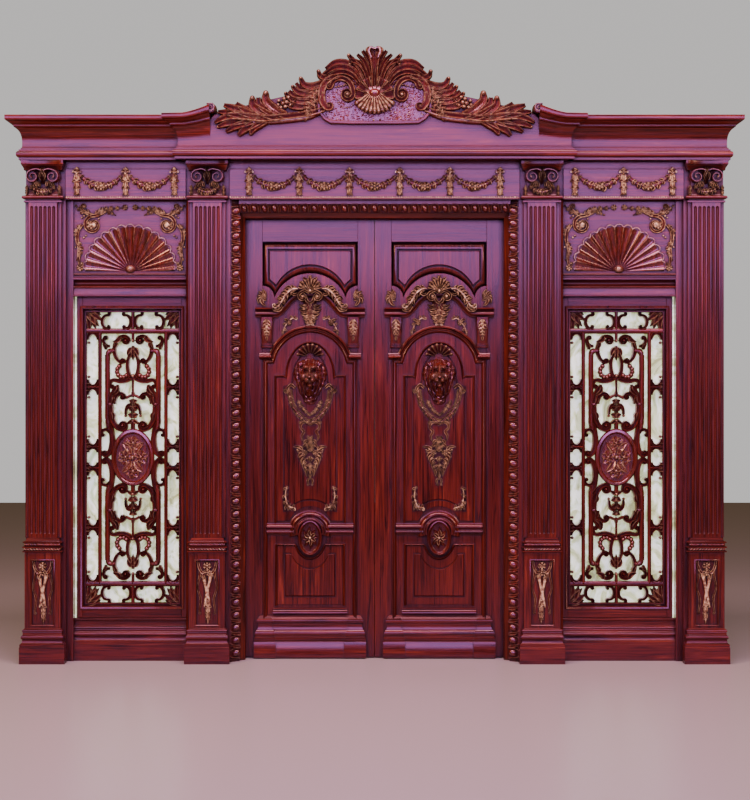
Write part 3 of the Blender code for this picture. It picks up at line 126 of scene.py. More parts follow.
def mixed(nodes, links, kind, factor, first, second):
    """A mix of two colours; each input is a socket or a constant."""
    made = nodes.new("ShaderNodeMix")
    made.data_type = "RGBA"
    made.blend_type = kind
    feed(links, made.inputs["Factor"], factor)
    feed(links, made.inputs[MIX_FIRST], first)
    feed(links, made.inputs[MIX_SECOND], second)
    return made.outputs[MIX_RESULT]


def maths(nodes, links, kind, first, second):
    """A calculation whose result is kept between 0 and 1; each input is a socket or a constant."""
    made = nodes.new("ShaderNodeMath")
    made.operation = kind
    made.use_clamp = True
    feed(links, made.inputs[0], first)
    feed(links, made.inputs[1], second)
    return made.outputs[0]


def bumped(nodes, links, shader, source, strength, distance):
    """Bumps a shader's surface by a source."""
    bump = nodes.new("ShaderNodeBump")
    bump.inputs["Strength"].default_value = strength
    bump.inputs["Distance"].default_value = distance
    links.new(source, bump.inputs["Height"])
    links.new(bump.outputs["Normal"], shader.inputs["Normal"])


WOOD_DARK = (0.030, 0.0034, 0.0018)
WOOD_MID = (0.105, 0.0115, 0.0045)
WOOD_LIGHT = (0.240, 0.0340, 0.0110)
SHEEN = (1.0, 0.50, 0.50)       # tint of the lacquer's reflections
GOLD = (0.86, 0.56, 0.26)
BLACK = (0.0, 0.0, 0.0)
WHITE = (1.0, 1.0, 1.0)


def painted_recess_shade(nodes, links, colour, strength):
    """Painted shade: darkens a colour in the recesses by ambient occlusion, and gives how open each place is.
    """
    near = nodes.new("ShaderNodeAmbientOcclusion")
    near.samples = 6
    near.inputs["Distance"].default_value = 0.036
    openness = ramp(nodes, links, near.outputs["AO"], [(0.30, (0.06, 0.04, 0.04)), (0.88, WHITE)])
    return mixed(nodes, links, "MULTIPLY", strength, colour, openness), openness


def wood(name, axis, rubbed=False, gilded=0.8, shade_strength=0.94, shine=0.42):
    """Lacquered mahogany with its grain along x, y or z, painted shade in its recesses, and rubbed gold on
    its carved highs.
    """
    made, nodes, links, shader = new_material(name)
    place = nodes.new("ShaderNodeTexCoord")

    def grain(scale, length, detail, distortion=0.0):
        stretch = [length if each == axis else 1.0 for each in "xyz"]
        return noise(nodes, links, place, scale, stretch, detail, distortion)

    figure = grain(38.0, 0.055, 5.0, 0.9)
    fibre = grain(190.0, 0.02, 3.0, 0.2)
    cloud = grain(2.1, 0.35, 3.0)
    tones = [(0.34, WOOD_DARK), (0.50, WOOD_MID), (0.58, WOOD_MID), (0.74, WOOD_LIGHT)]
    tone = ramp(nodes, links, figure, tones)
    thread = ramp(nodes, links, fibre, [(0.36, (0.30, 0.25, 0.25)), (0.56, WHITE)])
    patch = ramp(nodes, links, cloud, [(0.30, (0.50, 0.46, 0.46)), (0.70, WHITE)])
    colour = mixed(nodes, links, "MULTIPLY", 0.90, tone, thread)
    colour = mixed(nodes, links, "MULTIPLY", 0.85, colour, patch)
    shader.inputs["Coat Weight"].default_value = 0.06
    shader.inputs["Coat Roughness"].default_value = 0.08
    shader.inputs["Specular IOR Level"].default_value = shine
    shader.inputs["Specular Tint"].default_value = (*SHEEN, 1.0)
    gloss = nodes.new("ShaderNodeMapRange")
    gloss.inputs["To Min"].default_value = 0.12
    gloss.inputs["To Max"].default_value = 0.27
    links.new(fibre, gloss.inputs["Value"])
    # painted shade: the colour is darkened where ambient occlusion finds a recess
    colour, openness = painted_recess_shade(nodes, links, colour, shade_strength)
    if rubbed:
        rub = nodes.new("ShaderNodeAttribute")
        rub.attribute_name = "rub"
        high = ramp(nodes, links, rub.outputs["Fac"], [(0.50, BLACK), (0.92, WHITE)])
        worn = noise(nodes, links, place, 60.0, (1.0, 1.0, 1.0))
        patchy = ramp(nodes, links, worn, [(0.40, (0.10, 0.10, 0.10)), (0.60, WHITE)])
        share = maths(nodes, links, "MULTIPLY", high, patchy)
        share = maths(nodes, links, "MULTIPLY", share, gilded)
        colour = mixed(nodes, links, "MIX", share, colour, (*GOLD, 1.0))
        links.new(maths(nodes, links, "MULTIPLY", share, 0.35), shader.inputs["Metallic"])
    dull = maths(nodes, links, "SUBTRACT", 1.0, openness)
    dull = maths(nodes, links, "MULTIPLY", dull, 0.58 * shade_strength)
    links.new(maths(nodes, links, "ADD", gloss.outputs["Result"], dull), shader.inputs["Roughness"])
    links.new(colour, shader.inputs["Base Color"])
    bumped(nodes, links, shader, fibre, 0.10, 0.0006)
    return made


def glowing_marbled_glass():
    """Cream and green art glass that glows in its own colour, painted light in place of light shining through
    it from behind.
    """
    made, nodes, links, shader = new_material("glowing_marbled_glass")
    place = nodes.new("ShaderNodeTexCoord")
    swirl = noise(nodes, links, place, 7.0, (1.0, 1.0, 0.7), 6.0, 2.2)
    tones = [(0.34, (0.28, 0.31, 0.11)), (0.45, (0.52, 0.60, 0.29)), (0.55, (0.86, 0.93, 0.68)),
             (0.66, (0.44, 0.56, 0.27))]
    tone = ramp(nodes, links, swirl, tones)
    links.new(tone, shader.inputs["Base Color"])
    # painted glow: the glass gives off its own colour as if lit from behind
    links.new(tone, shader.inputs["Emission Color"])
    shader.inputs["Emission Strength"].default_value = 1.0
    shader.inputs["Roughness"].default_value = 0.16
    bumped(nodes, links, shader, swirl, 0.25, 0.003)
    return made


def steel():
    """Brushed steel of the hinges."""
    made, nodes, links, shader = new_material("hinge_steel")
    place = nodes.new("ShaderNodeTexCoord")
    brushed = noise(nodes, links, place, 60.0, (1.0, 1.0, 0.1), 3.0)
    tone = ramp(nodes, links, brushed, [(0.3, (0.22, 0.20, 0.18)), (0.7, (0.42, 0.39, 0.34))])
    links.new(tone, shader.inputs["Base Color"])
    shader.inputs["Metallic"].default_value = 1.0
    shader.inputs["Roughness"].default_value = 0.34
    return made


def plain(name, colour, roughness):
    """A material of one colour, for what isn't part of the door."""
    made, _, _, shader = new_material(name)
    shader.inputs["Base Color"].default_value = (*colour, 1.0)
    shader.inputs["Roughness"].default_value = roughness
    return made


UPRIGHT = wood("mahogany_upright", "z")
ACROSS = wood("mahogany_across", "x")
# the carved woods get weaker painted shade in their recesses than the plain ones
CARVED = wood("mahogany_carved", "z", rubbed=True, shade_strength=0.75)
BRONZED = wood("mahogany_bronzed", "z", rubbed=True, gilded=0.30, shade_strength=0.50, shine=0.95)
GLASS = glowing_marbled_glass()
STEEL = steel()
UP, FLAT, CUT = range(3)        # material of a face: grain upright, grain across, carving

# ---------------------------------------------------------------- curves


def smooth(rows, steps=6):
    """Rows of numbers on a smooth curve through the given rows."""
    rows = np.asarray(rows, float)
    wide = np.vstack([2 * rows[:1] - rows[1:2], rows, 2 * rows[-1:] - rows[-2:-1]])
    t = (np.arange(steps) / steps)[:, None]
    made = []
    for a, b, c, d in zip(wide, wide[1:], wide[2:], wide[3:]):
        made.append(0.5 * (2 * b + (c - a) * t + (2 * a - 5 * b + 4 * c - d) * t ** 2
                           + (3 * b - a - 3 * c + d) * t ** 3))
    return np.vstack([*made, rows[-1:]])


def eased(rows, steps):
    """The same curve as a list of tuples, to stand in a section."""
    return [tuple(row) for row in smooth(rows, steps)]


def between(first, second, share):
    """Places between two others or two rows of them."""
    first = np.asarray(first)
    return first + (np.asarray(second) - first) * share


def raised(level, rows):
    """A section whose heights are counted from a level."""
    return [(off, level + up) for off, up in rows]


def stretched(across, level, rise, rows):
    """A section given in shares of its growth and of its rise over a level."""
    return [(across * off, level + rise * up) for off, up in rows]


def flipped(profile):
    """A profile laid to the other side of its path."""
    return [(-off, proud) for off, proud in profile]


def headings(path):
    """Unit headings along a path across and up."""
    step = np.gradient(np.asarray(path, float), axis=0)
    return step / np.maximum(np.linalg.norm(step, axis=1, keepdims=True), 1e-9)


def arc(centre, radius, start, end, steps):
    """Places on a round or oval arc between two angles in degrees; the radius is one number or two."""
    radii = radius if hasattr(radius, "__len__") else (radius, radius)
    turn = np.radians(np.linspace(start, end, steps + 1))
    return [(centre[0] + radii[0] * cos(a), centre[1] + radii[1] * sin(a)) for a in turn]


def oval(centre, radii):
    """A closed round or oval outline."""
    return arc(centre, radii, 0, 360, 48)[:-1]


def spiral(end, heading, radius, side, turns, shrink=0.22):
    """Places that carry a path on into a curl turning to one side of its heading."""
    normal = np.array([-heading[1], heading[0]]) * side
    centre = np.asarray(end) + normal * radius
    start = atan2(-normal[1], -normal[0])
    count = max(int(turns * 14), 4)
    share = np.arange(1, count + 1) / count
    radii = radius * (1 - share * (1 - shrink))
    turn = start + side * share * turns * 2 * pi
    return np.stack([centre[0] + radii * np.cos(turn), centre[1] + radii * np.sin(turn)], 1), centre


def mirrored(path):
    """A left half path continued with its mirror image, from left to right."""
    left = [tuple(place) for place in path]
    right = [(-x, z) for x, z in reversed(left)]
    if abs(left[-1][0]) < 1e-9:
        right = right[1:]
    return left + right


# sections of a carved strand: places across it, how high each is, how far each is rubbed
SECTIONS = {
    "round": ([-1, -0.90, -0.64, -0.25, 0.25, 0.64, 0.90, 1], [0, 0.46, 0.78, 0.97, 0.97, 0.78, 0.46, 0],
              [0, 0.2, 0.6, 1, 1, 0.6, 0.2, 0]),
    "gouge": ([-1, -0.90, -0.66, -0.33, 0, 0.33, 0.66, 0.90, 1], [0, 0.66, 1, 0.66, 0.46, 0.66, 1, 0.66, 0],
              [0, 0.4, 1, 0.45, 0.1, 0.45, 1, 0.4, 0]),
    "ridge": ([-1, -0.84, -0.45, 0, 0.45, 0.84, 1], [0, 0.30, 0.66, 1, 0.66, 0.30, 0],
              [0, 0.2, 0.5, 1, 0.5, 0.2, 0]),
    "trough": ([-1, -0.97, -0.88, -0.55, 0, 0.55, 0.88, 0.97, 1], [0, 0.92, 1, 0.50, 0.28, 0.50, 1, 0.92, 0],
               [0, 0.5, 1, 0.25, 0.05, 0.25, 1, 0.5, 0]),
}


class Piece:
    """One mesh made of closed lofts, boards and carved strands."""

    def __init__(self):
        self.places = []
        self.faces = []
        self.kinds = []
        self.rub = []
        self.count = 0
        self.bed = 0.0
        self.sink = 0.002
        self.carving = CARVED
        self.fullness = 1.0

    # -- general solids: a place is (x, p, z)

    def loft(self, rings, kind=UP, rub=0.0, closed=False):
        """Rings of places joined one to the next; open lofts get a face at both ends."""
        rings = np.asarray(rings, float)
        count, each = rings.shape[:2]
        number = np.arange(count * each).reshape(count, each)
        first = number if closed else number[:-1]
        second = np.roll(number, -1, 0) if closed else number[1:]
        quads = np.stack([first, np.roll(first, -1, 1), np.roll(second, -1, 1), second], -1).reshape(-1, 4)
        places = rings.reshape(-1, 3)
        corners = places[quads]
        one, two, three = (corners[:, k] - corners[:, 0] for k in (1, 2, 3))
        inward = corners[:, 0] - places.mean(0)
        volume = (np.cross(one, two) * inward).sum() + (np.cross(two, three) * inward).sum()
        faces = quads.tolist()
        if not closed:
            faces += [number[0][::-1].tolist(), number[-1].tolist()]
        # p runs against world y, so a solid that is right way out has a negative volume here
        if volume > 0:
            faces = [face[::-1] for face in faces]
        self.places.append(places)
        self.faces += [[k + self.count for k in face] for face in faces]
        self.kinds += [kind] * len(faces)
        rub = np.asarray(rub, float)
        self.rub.append(rub.reshape(-1) if rub.ndim == 2 else np.broadcast_to(rub, (count, each)).reshape(-1))
        self.count += len(places)

    def block(self, x, p, z, kind=UP, edge=0.0015):
        """A block with its edges taken off."""
        low = np.array([x[0], p[0], z[0]])
        high = np.array([x[1], p[1], z[1]])
        edge = min(edge, *(0.3 * (high - low)))
        rings = []
        for level, inset in ((low[2], edge), (low[2] + edge, 0), (high[2] - edge, 0), (high[2], edge)):
            (x0, p0, _), (x1, p1, _) = low + inset, high - inset
            rings.append([(x0, p0 + edge, level), (x0 + edge, p0, level), (x1 - edge, p0, level),
                          (x1, p0 + edge, level), (x1, p1 - edge, level), (x1 - edge, p1, level),
                          (x0 + edge, p1, level), (x0, p1 - edge, level)])
        self.loft(rings, kind)

    def slab(self, outline, p, kind=UP, edge=0.0):
        """A board of a given outline, its front edge taken off where an edge is given."""
        outline = np.asarray(outline, float)
        normals = outward(outline)
        steps = [(0.0, p[0]), (0.0, p[1] - edge)]
        if edge:
            steps.append((edge, p[1]))
        rings = []
        for inset, level in steps:
            place = outline - normals * inset
            rings.append(np.stack([place[:, 0], np.full(len(place), level), place[:, 1]], 1))
        self.loft(rings, kind)

    def pocketed(self, outline, pockets, p, kind=UP):
        """A board with flat-bottomed pockets cut in its front: (outline, depth) each."""
        lines = [np.asarray(line, float) for line in [outline] + [pocket for pocket, _ in pockets]]
        places = []
        faces = []
        starts = []
        for line in lines:
            starts.append(len(places))
            places += [(x, p[1], z) for x, z in line]
        faces += front_faces(lines)
        back = len(places)
        places += [(x, p[0], z) for x, z in lines[0]]
        count = len(lines[0])
        faces += [[back + k for k in face][::-1] for face in front_faces([lines[0]])]
        faces += [[k, (k + 1) % count, back + (k + 1) % count, back + k] for k in range(count)]
        turn = area(lines[0])
        for line, start, (_, depth) in zip(lines[1:], starts[1:], pockets):
            floor = len(places)
            count = len(line)
            places += [(x, p[1] - depth, z) for x, z in line]
            faces += [[floor + k for k in face] for face in front_faces([line])]
            wall = [[start + k, floor + k, floor + (k + 1) % count, start + (k + 1) % count]
                    for k in range(count)]
            faces += wall if area(line) * turn > 0 else [face[::-1] for face in wall]
        self.solid(places, faces, kind)

    def solid(self, places, faces, kind):
        """A closed solid whose faces are turned to face out one from another."""
        bm = bmesh.new()
        verts = [bm.verts.new(place) for place in places]
        for face in faces:
            if len(set(face)) > 2:
                bm.faces.new([verts[k] for k in face])
        bmesh.ops.recalc_face_normals(bm, faces=bm.faces)
        bm.verts.index_update()
        # p runs against world y, so the faces are reversed once more
        self.places.append(np.array([tuple(v.co) for v in bm.verts]))
        found = [[self.count + v.index for v in face.verts][::-1] for face in bm.faces]
        self.faces += found
        self.kinds += [kind] * len(found)
        self.rub.append(np.zeros(len(verts)))
        self.count += len(verts)
        bm.free()

    # -- mouldings

    def frame(self, path, profile, kind=UP, closed=False, rub=0.0):
        """A moulding along a path across and up; the profile is (offset to its left, proud)."""
        path = np.asarray(path, float)
        sides = mitres(path, closed)
        rings = [[(place[0] + side[0] * off, proud, place[1] + side[1] * off) for off, proud in profile]
                 for place, side in zip(path, sides)]
        self.loft(rings, kind, rub, closed)

    def cornice(self, plan, profile, kind=FLAT):
        """A moulding along a path across and proud; the profile is (out, up) and ends at the back."""
        plan = np.asarray(plan, float)
        sides = mitres(plan)
        rings = [[(place[0] + side[0] * out, place[1] + side[1] * out, up) for out, up in profile]
                 for place, side in zip(plan, sides)]
        self.loft(rings, kind)

    # -- carving, on a bed that is flat or a function of x and z

    def level(self, x, z):
        """How far the bed stands proud at a place."""
        return self.bed(x, z) if callable(self.bed) else np.full(np.shape(x), self.bed)

    def strand(self, rows, section="round", rub=1.0, steps=5):
        """A strand along rows of (x, z, width, height)."""
        rows = smooth(rows, steps) if steps > 1 else np.asarray(rows, float)
        turn = headings(rows[:, :2])
        width = np.maximum(rows[:, 2] * self.fullness, 0.0006)[:, None] / 2
        height = np.maximum(rows[:, 3], 0.0004)[:, None]
        across, top, worn = (np.array(row, float) for row in SECTIONS[section])
        x = rows[:, :1] - turn[:, 1:] * across * width
        z = rows[:, 1:2] + turn[:, :1] * across * width
        p = self.level(x, z) + np.where(top > 0, height * top, -self.sink)
        self.loft(np.stack([x, p, z], -1), CUT, np.broadcast_to(worn * rub, x.shape))

    def scroll(self, path, widths, height, start=None, end=None, section="gouge", rub=1.0, steps=6,
               eyes=True):
        """A strand whose ends may curl: (radius, side, turns) each."""
        line = smooth(path, steps)
        share = np.linspace(0, 1, len(line))
        width = np.interp(share, np.linspace(0, 1, len(widths)), widths)
        turn = headings(line)
        parts = [np.column_stack([line, width])]
        spots = []
        for tip, which, heading in ((end, -1, turn[-1]), (start, 0, -turn[0])):
            if not tip:
                continue
            radius, side, turns = tip
            curl, centre = spiral(line[which], heading, radius, side, turns)
            taper = width[which] * np.linspace(1.0, 0.42, len(curl))
            rows = np.column_stack([curl, np.minimum(taper, radius * 1.1)])
            parts = parts + [rows] if which == -1 else [rows[::-1]] + parts
            spots.append((centre, radius))
        rows = np.vstack(parts)
        rows = np.column_stack([rows, np.full(len(rows), height)])
        self.strand(rows, section, rub, 1)
        for (x, z), radius in spots if eyes else []:
            self.berry(x, z, radius * 0.40, height * 1.15, rub)

    def dome(self, x, z, across, up, height, rub=1.0, sides=10, turn=0.0):
        """A bud, an eye or a berry."""
        angle = np.arange(sides) / sides * 2 * pi
        rings = []
        worn = []
        base = float(np.max(self.level(np.array([x]), np.array([z]))))
        for lift, spread in ((-self.sink, 1.0), (0.35, 0.96), (0.70, 0.74), (0.93, 0.40), (1.0, 0.08)):
            dx = across * spread * np.cos(angle)
            dz = up * spread * np.sin(angle)
            level = base + (lift if lift < 0 else lift * height)
            rings.append(np.stack([x + dx * cos(turn) - dz * sin(turn), np.full(sides, level),
                                   z + dx * sin(turn) + dz * cos(turn)], 1))
            worn.append(np.full(sides, max(lift, 0.0) * rub))
        self.loft(rings, CUT, np.array(worn))

    def berry(self, x, z, radius, height, rub=1.0, sides=10):
        """A round bud."""
        self.dome(x, z, radius, radius, height, rub, sides)

    def beads(self, line, radius, height):
        """Small buds at given places."""
        for x, z in line:
            self.berry(x, z, radius, height, sides=8)

    def leaflet(self, foot, tip, width, height, bend=0.0, section="gouge", rub=1.0, steps=4):
        """One pointed lobe from its foot to its tip, which may bend to one side."""
        foot = np.asarray(foot, float)
        tip = np.asarray(tip, float)
        along = tip - foot
        side = np.array([-along[1], along[0]]) * bend
        rows = [(*foot, width * 0.55, height * 0.55), (*(foot + along * 0.35 + side), width, height),
                (*(foot + along * 0.72 + side * 0.7), width * 0.74, height * 0.92),
                (*tip, width * 0.10, height * 0.45)]
        self.strand(rows, section, rub, steps)

    def frond(self, path, width, height, lobes=5, lean=0.7, rub=1.0, end=None, taper=0.35):
        """An acanthus frond: lobes on both sides of a spine, and a lobe or a curl at its end."""
        line = smooth(path, 8)
        turn = headings(line)
        count = len(line) - 1
        pitch = np.linalg.norm(np.diff(line, axis=0), axis=1).sum() / lobes
        bare = 0.06             # share of the spine before its first lobe
        for k in range(lobes):
            share = bare + (1 - bare) * (k + 0.2) / lobes
            place = line[int(share * count)]
            along = turn[int(share * count)]
            swell = (1 - share) * (1 - taper) + taper
            swell *= min(1.0, 0.62 + share * 1.6)
            reach = width / 2 * swell
            wide = min(pitch * 1.25, reach * 0.9)
            foot = place - along * pitch * 0.15
            tall = height * (0.75 + 0.25 * swell)
            for side in (-1, 1):
                normal = np.array([-along[1], along[0]]) * side
                tip = place + normal * reach + along * reach * lean
                self.leaflet(foot, tip, wide, tall, -0.16 * side, rub=rub)
        if end:
            widths = [width * 0.16, width * 0.13, width * 0.10]
            self.scroll(line, widths, height * 1.1, end=end, section="round", rub=rub, steps=1)
            return
        reach = width / 2 * taper
        foot = line[-1] - turn[-1] * reach * 0.3
        self.leaflet(foot, line[-1] + turn[-1] * reach * 1.3, reach * 0.9, height * 0.85, rub=rub)
        rows = [(*place, width * (0.15 - 0.10 * k / 4), height * (1.1 - 0.2 * k / 4))
                for k, place in enumerate(line[::max(count // 4, 1)][:5])]
        self.strand(rows, "ridge", rub, 3)

    def fan(self, centre, radius, ribs, start, end, height, section="round", hub=0.12, lip=0.0, flat=1.0):
        """A shell: ribs from a hub to a scalloped rim."""
        step = radians(end - start) / ribs
        shares = ((hub, 0.95, 0.60), (0.45, 0.97, 0.80), (0.75, 1.0, 1.0), (0.92, 0.98, 1.0 + lip),
                  (1.0, 0.62, 0.75 + lip))
        for k in range(ribs):
            angle = radians(start) + step * (k + 0.5)
            rows = []
            for share, wide, high in shares:
                reach = radius * share
                rows.append((centre[0] + reach * cos(angle), centre[1] + reach * sin(angle) * flat,
                             abs(step) * reach * wide * 1.02, height * high))
            self.strand(rows, section, 1.0, 3)

    def flower(self, x, z, radius, height, petals=6, rub=1.0, turn=0.0):
        """Petals round a bud."""
        for k in range(petals):
            angle = turn + 2 * pi * k / petals
            foot = (x + cos(angle) * radius * 0.18, z + sin(angle) * radius * 0.18)
            tip = (x + cos(angle) * radius, z + sin(angle) * radius)
            self.leaflet(foot, tip, radius * 4.4 / petals, height, rub=rub, steps=3)
        self.berry(x, z, radius * 0.30, height * 1.1, rub, 8)

    def husks(self, x, top, bottom, width, height, count=3, lean=0.0):
        """A drop of bell-flowers that get smaller downwards."""
        tall = (top - bottom) / count
        for k in range(count):
            size = 1 - 0.28 * k / max(count - 1, 1)
            z = top - tall * k
            cx = x + lean * k / count
            for side in (-1, 1):
                tip = (cx + side * width / 2 * size, z - tall * 1.08)
                self.leaflet((cx, z), tip, width * 0.42 * size, height * 0.8, -0.25 * side, steps=3)
            self.leaflet((cx, z), (cx, z - tall * 1.22), width * 0.40 * size, height, 0.0, "ridge", steps=3)
            self.dome(cx, z, width * 0.15 * size, width * 0.13 * size, height * 1.1, 1.0, 8)

    def garland(self, ends, sag, width, height, count, seed):
        """A swag of leaves and buds between two places."""
        rng = random.Random(seed)
        (x0, z0), (x1, z1) = ends
        share = np.linspace(0, 1, count * 4 + 1)
        line = np.stack([x0 + (x1 - x0) * share, z0 + (z1 - z0) * share - sag * 4 * share * (1 - share)], 1)
        turn = headings(line)
        swell = 0.45 + 0.55 * np.sin(pi * share)
        self.strand(np.column_stack([line, width * 0.45 * swell, height * 0.7 * swell]), "round", 0.5, 1)
        for k in range(2, count * 4, 4):
            size = width * swell[k]
            way = 1 if share[k] < 0.5 else -1
            for side in (-1, 1):
                normal = np.array([-turn[k][1], turn[k][0]]) * side
                reach = size * (0.50 + 0.12 * rng.random())
                tip = line[k] + normal * reach + turn[k] * way * size * 0.35
                tall = height * (0.7 + 0.3 * rng.random())
                self.leaflet(line[k], tip, size * 0.42, tall, 0.12 * side, steps=3)
            self.berry(*line[k], size * 0.17, height * (0.95 + 0.15 * rng.random()), 1.0, 8)

    def rope(self, path, radius, lay, rub=1.0):
        """A twisted rope of two strands lying on the bed."""
        path = np.asarray(path, float)
        steps = np.linalg.norm(np.diff(path, axis=0), axis=1)
        run = np.concatenate([[0], np.cumsum(steps)])
        along = np.linspace(0, run[-1], max(int(run[-1] / lay * 8), 4))
        line = np.stack([np.interp(along, run, path[:, k]) for k in (0, 1)], 1)
        turn = headings(line)
        angle = np.arange(12) / 12 * 2 * pi
        ring = radius * (0.82 + 0.22 * np.abs(np.cos(angle - along[:, None] * pi / lay)))
        side = ring * np.cos(angle)
        x = line[:, :1] - turn[:, 1:] * side
        z = line[:, 1:] + turn[:, :1] * side
        p = self.level(x, z) + ring * np.sin(angle) + radius * 0.55
        self.loft(np.stack([x, p, z], -1), CUT, np.clip((ring / radius - 0.86) * 5, 0, 1) * rub)

    # -- the finished object

    def build(self, name, body, replaces=(), slot="mahogany", flip=False):
        """Makes the object, riding on a body, in place of the CAD nodes that it replaces."""
        places = np.vstack(self.places)
        points = np.column_stack([places[:, 0], DEPTH / 2 - places[:, 1], places[:, 2]])
        faces = self.faces
        if flip:
            points[:, 0] *= -1
            faces = [face[::-1] for face in faces]
        mesh = bpy.data.meshes.new(name)
        mesh.from_pydata(points.tolist(), [], faces)
        for each in (UPRIGHT, ACROSS, self.carving):
            mesh.materials.append(each)
        mesh.polygons.foreach_set("material_index", self.kinds)
        worn = np.concatenate(self.rub).astype(np.float32)
        mesh.attributes.new("rub", "FLOAT", "POINT").data.foreach_set("value", worn)
        mesh.polygons.foreach_set("use_smooth", [True] * len(faces))
        mesh.update()
        mesh.set_sharp_from_angle(angle=radians(38))
        made = bpy.data.objects.new(name, mesh)
        bpy.context.scene.collection.objects.link(made)
        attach(made, body)
        if replaces:
            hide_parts(*replaces)

    def pair(self, name, nodes=(), slot="mahogany", body="surround"):
        """The piece on the left and its mirror image on the right."""
        for side, flip in (("left", False), ("right", True)):
            riding = f"{body}_{side}" if body != "surround" else body
            self.build(f"{name}_{side}", riding, [f"{node}_{side}" for node in nodes], slot, flip)


def area(line):
    """Area inside a closed outline, above zero where it runs anticlockwise."""
    line = np.asarray(line)
    after = np.roll(line, -1, 0)
    return float((line[:, 0] * after[:, 1] - after[:, 0] * line[:, 1]).sum() / 2)


def outward(outline):
    """Mitred normals of a closed outline that point out of it."""
    return mitres(outline, True) * (-1 if area(outline) > 0 else 1)


def mitres(path, closed=False):
    """Sideways vectors to the left of a path, as long as a mitre needs."""
    path = np.asarray(path, float)
    ahead = np.roll(path, -1, 0) - path
    behind = path - np.roll(path, 1, 0)
    if not closed:
        ahead[-1] = behind[-1]
        behind[0] = ahead[0]
    ahead /= np.maximum(np.linalg.norm(ahead, axis=1, keepdims=True), 1e-9)
    behind /= np.maximum(np.linalg.norm(behind, axis=1, keepdims=True), 1e-9)
    first = np.stack([-behind[:, 1], behind[:, 0]], 1)
    second = np.stack([-ahead[:, 1], ahead[:, 0]], 1)
    mean = first + second
    return mean / np.maximum((mean * first).sum(1, keepdims=True), 0.25)


def front_faces(lines):
    """Triangles of the region inside the first outline and outside the others."""
    corners = [[Vector((x, z, 0)) for x, z in line] for line in lines]
    return [list(face) for face in tessellate_polygon(corners)]


# ---------------------------------------------------------------- places, from the frame

LEAF = limits("leaf_left")
JAMB = limits("jamb_left")
POST = limits("post_left")
HEAD = limits("door_head")
BAY = limits("shell_panel_left")
SASH = limits("sash_left")
FACE = limits("leaf_crown_left")[0][1]      # front plane of the leaves
LEAF_TOP = LEAF[1][2]
PANEL_X = (limits("leaf_plinth_left")[0][0] + limits("leaf_plinth_left")[1][0]) / 2
CORNICE_Z = limits("cornice_left")[0][2]
CORNICE_TOP = limits("cornice_left")[1][2]
BEAM_Z = HEAD[1][2]
POST_FACE = POST[1][1]
STOP_X = -JAMB[1][0]
BORDER = 0.027                  # breadth of the stop inside an egg band
BAND = 0.042                    # breadth of an egg band
EGG_X = STOP_X + BORDER
JAMB_X = EGG_X + 0.048
EGG_BACK = 0.206                # how far the band's inner edge stands proud
SHAFT = limits("shaft_inner_left")
AXES = {side: (limits(f"shaft_{side}_left")[0][0] + limits(f"shaft_{side}_left")[1][0]) / 2
        for side in ("outer", "inner")}

# ---------------------------------------------------------------- camera, stage and lights

EYE = 1.4745                    # height of the camera
camera = bpy.data.objects.new("camera", bpy.data.cameras.new("camera"))
bpy.context.scene.collection.objects.link(camera)
camera.location = (0.0, -9.922, EYE)
camera.rotation_euler = (pi / 2, 0.0, 0.0)
camera.data.lens = 82.2
camera.data.sensor_width = 36.0
camera.data.shift_x = 0.0005
camera.data.shift_y = -0.0125
bpy.context.scene.camera = camera

FLOOR = plain("pale_floor", (0.35, 0.285, 0.22), 0.30)


def sheet(name, corners, material):
    """A flat face of the stage."""
    mesh = bpy.data.meshes.new(name)
    mesh.from_pydata(corners, [], [(0, 1, 2, 3)])
    mesh.materials.append(material)
    made = bpy.data.objects.new(name, mesh)
    bpy.context.scene.collection.objects.link(made)


sheet("floor", [(-14, -14, 0), (14, -14, 0), (14, 14, 0), (-14, 14, 0)], FLOOR)


def softbox(name, place, aim, size, power, colour):
    """A light that the camera doesn't see."""
    light = bpy.data.lights.new(name, "AREA")
    light.shape = "RECTANGLE"
    light.size = size[0]
    light.size_y = size[1]
    light.energy = power
    light.color = colour
    made = bpy.data.objects.new(name, light)
    bpy.context.scene.collection.objects.link(made)
    made.location = place
    made.rotation_euler = (Vector(aim) - Vector(place)).to_track_quat("-Z", "Y").to_euler()
    made.visible_camera = False


world = bpy.data.worlds.new("studio")
bpy.context.scene.world = world
world.use_nodes = True
sky = world.node_tree.nodes
ray = sky.new("ShaderNodeLightPath")
shade = sky.new("ShaderNodeMix")
shade.data_type = "RGBA"
shade.inputs[MIX_FIRST].default_value = (0.120, 0.085, 0.055, 1.0)      # what lights the door
shade.inputs[MIX_SECOND].default_value = (0.62, 0.60, 0.59, 1.0)        # what the camera sees behind it
world.node_tree.links.new(ray.outputs["Is Camera Ray"], shade.inputs["Factor"])
world.node_tree.links.new(shade.outputs[MIX_RESULT], sky["Background"].inputs["Color"])
softbox("lilac_high", (0.0, -8.8, 3.9), (0.0, -0.2, 2.3), (9.0, 2.8), 1250, (0.43, 0.33, 0.98))
softbox("key_left", (-5.6, -6.0, 5.0), (0.0, 0.0, 1.3), (1.4, 2.0), 480, (1.0, 0.70, 0.42))
softbox("fill_right", (5.6, -6.0, 4.2), (0.0, 0.0, 1.3), (1.4, 2.0), 240, (1.0, 0.84, 0.64))
softbox("over", (0.0, -2.4, 6.0), (0.0, 0.0, 1.2), (5.5, 1.4), 700, (0.92, 0.62, 0.86))

# ---------------------------------------------------------------- cornice and pediment

REACH = 0.091                   # how far the cornice stands out
APART = 0.0008                  # keeps overlapping faces off one plane


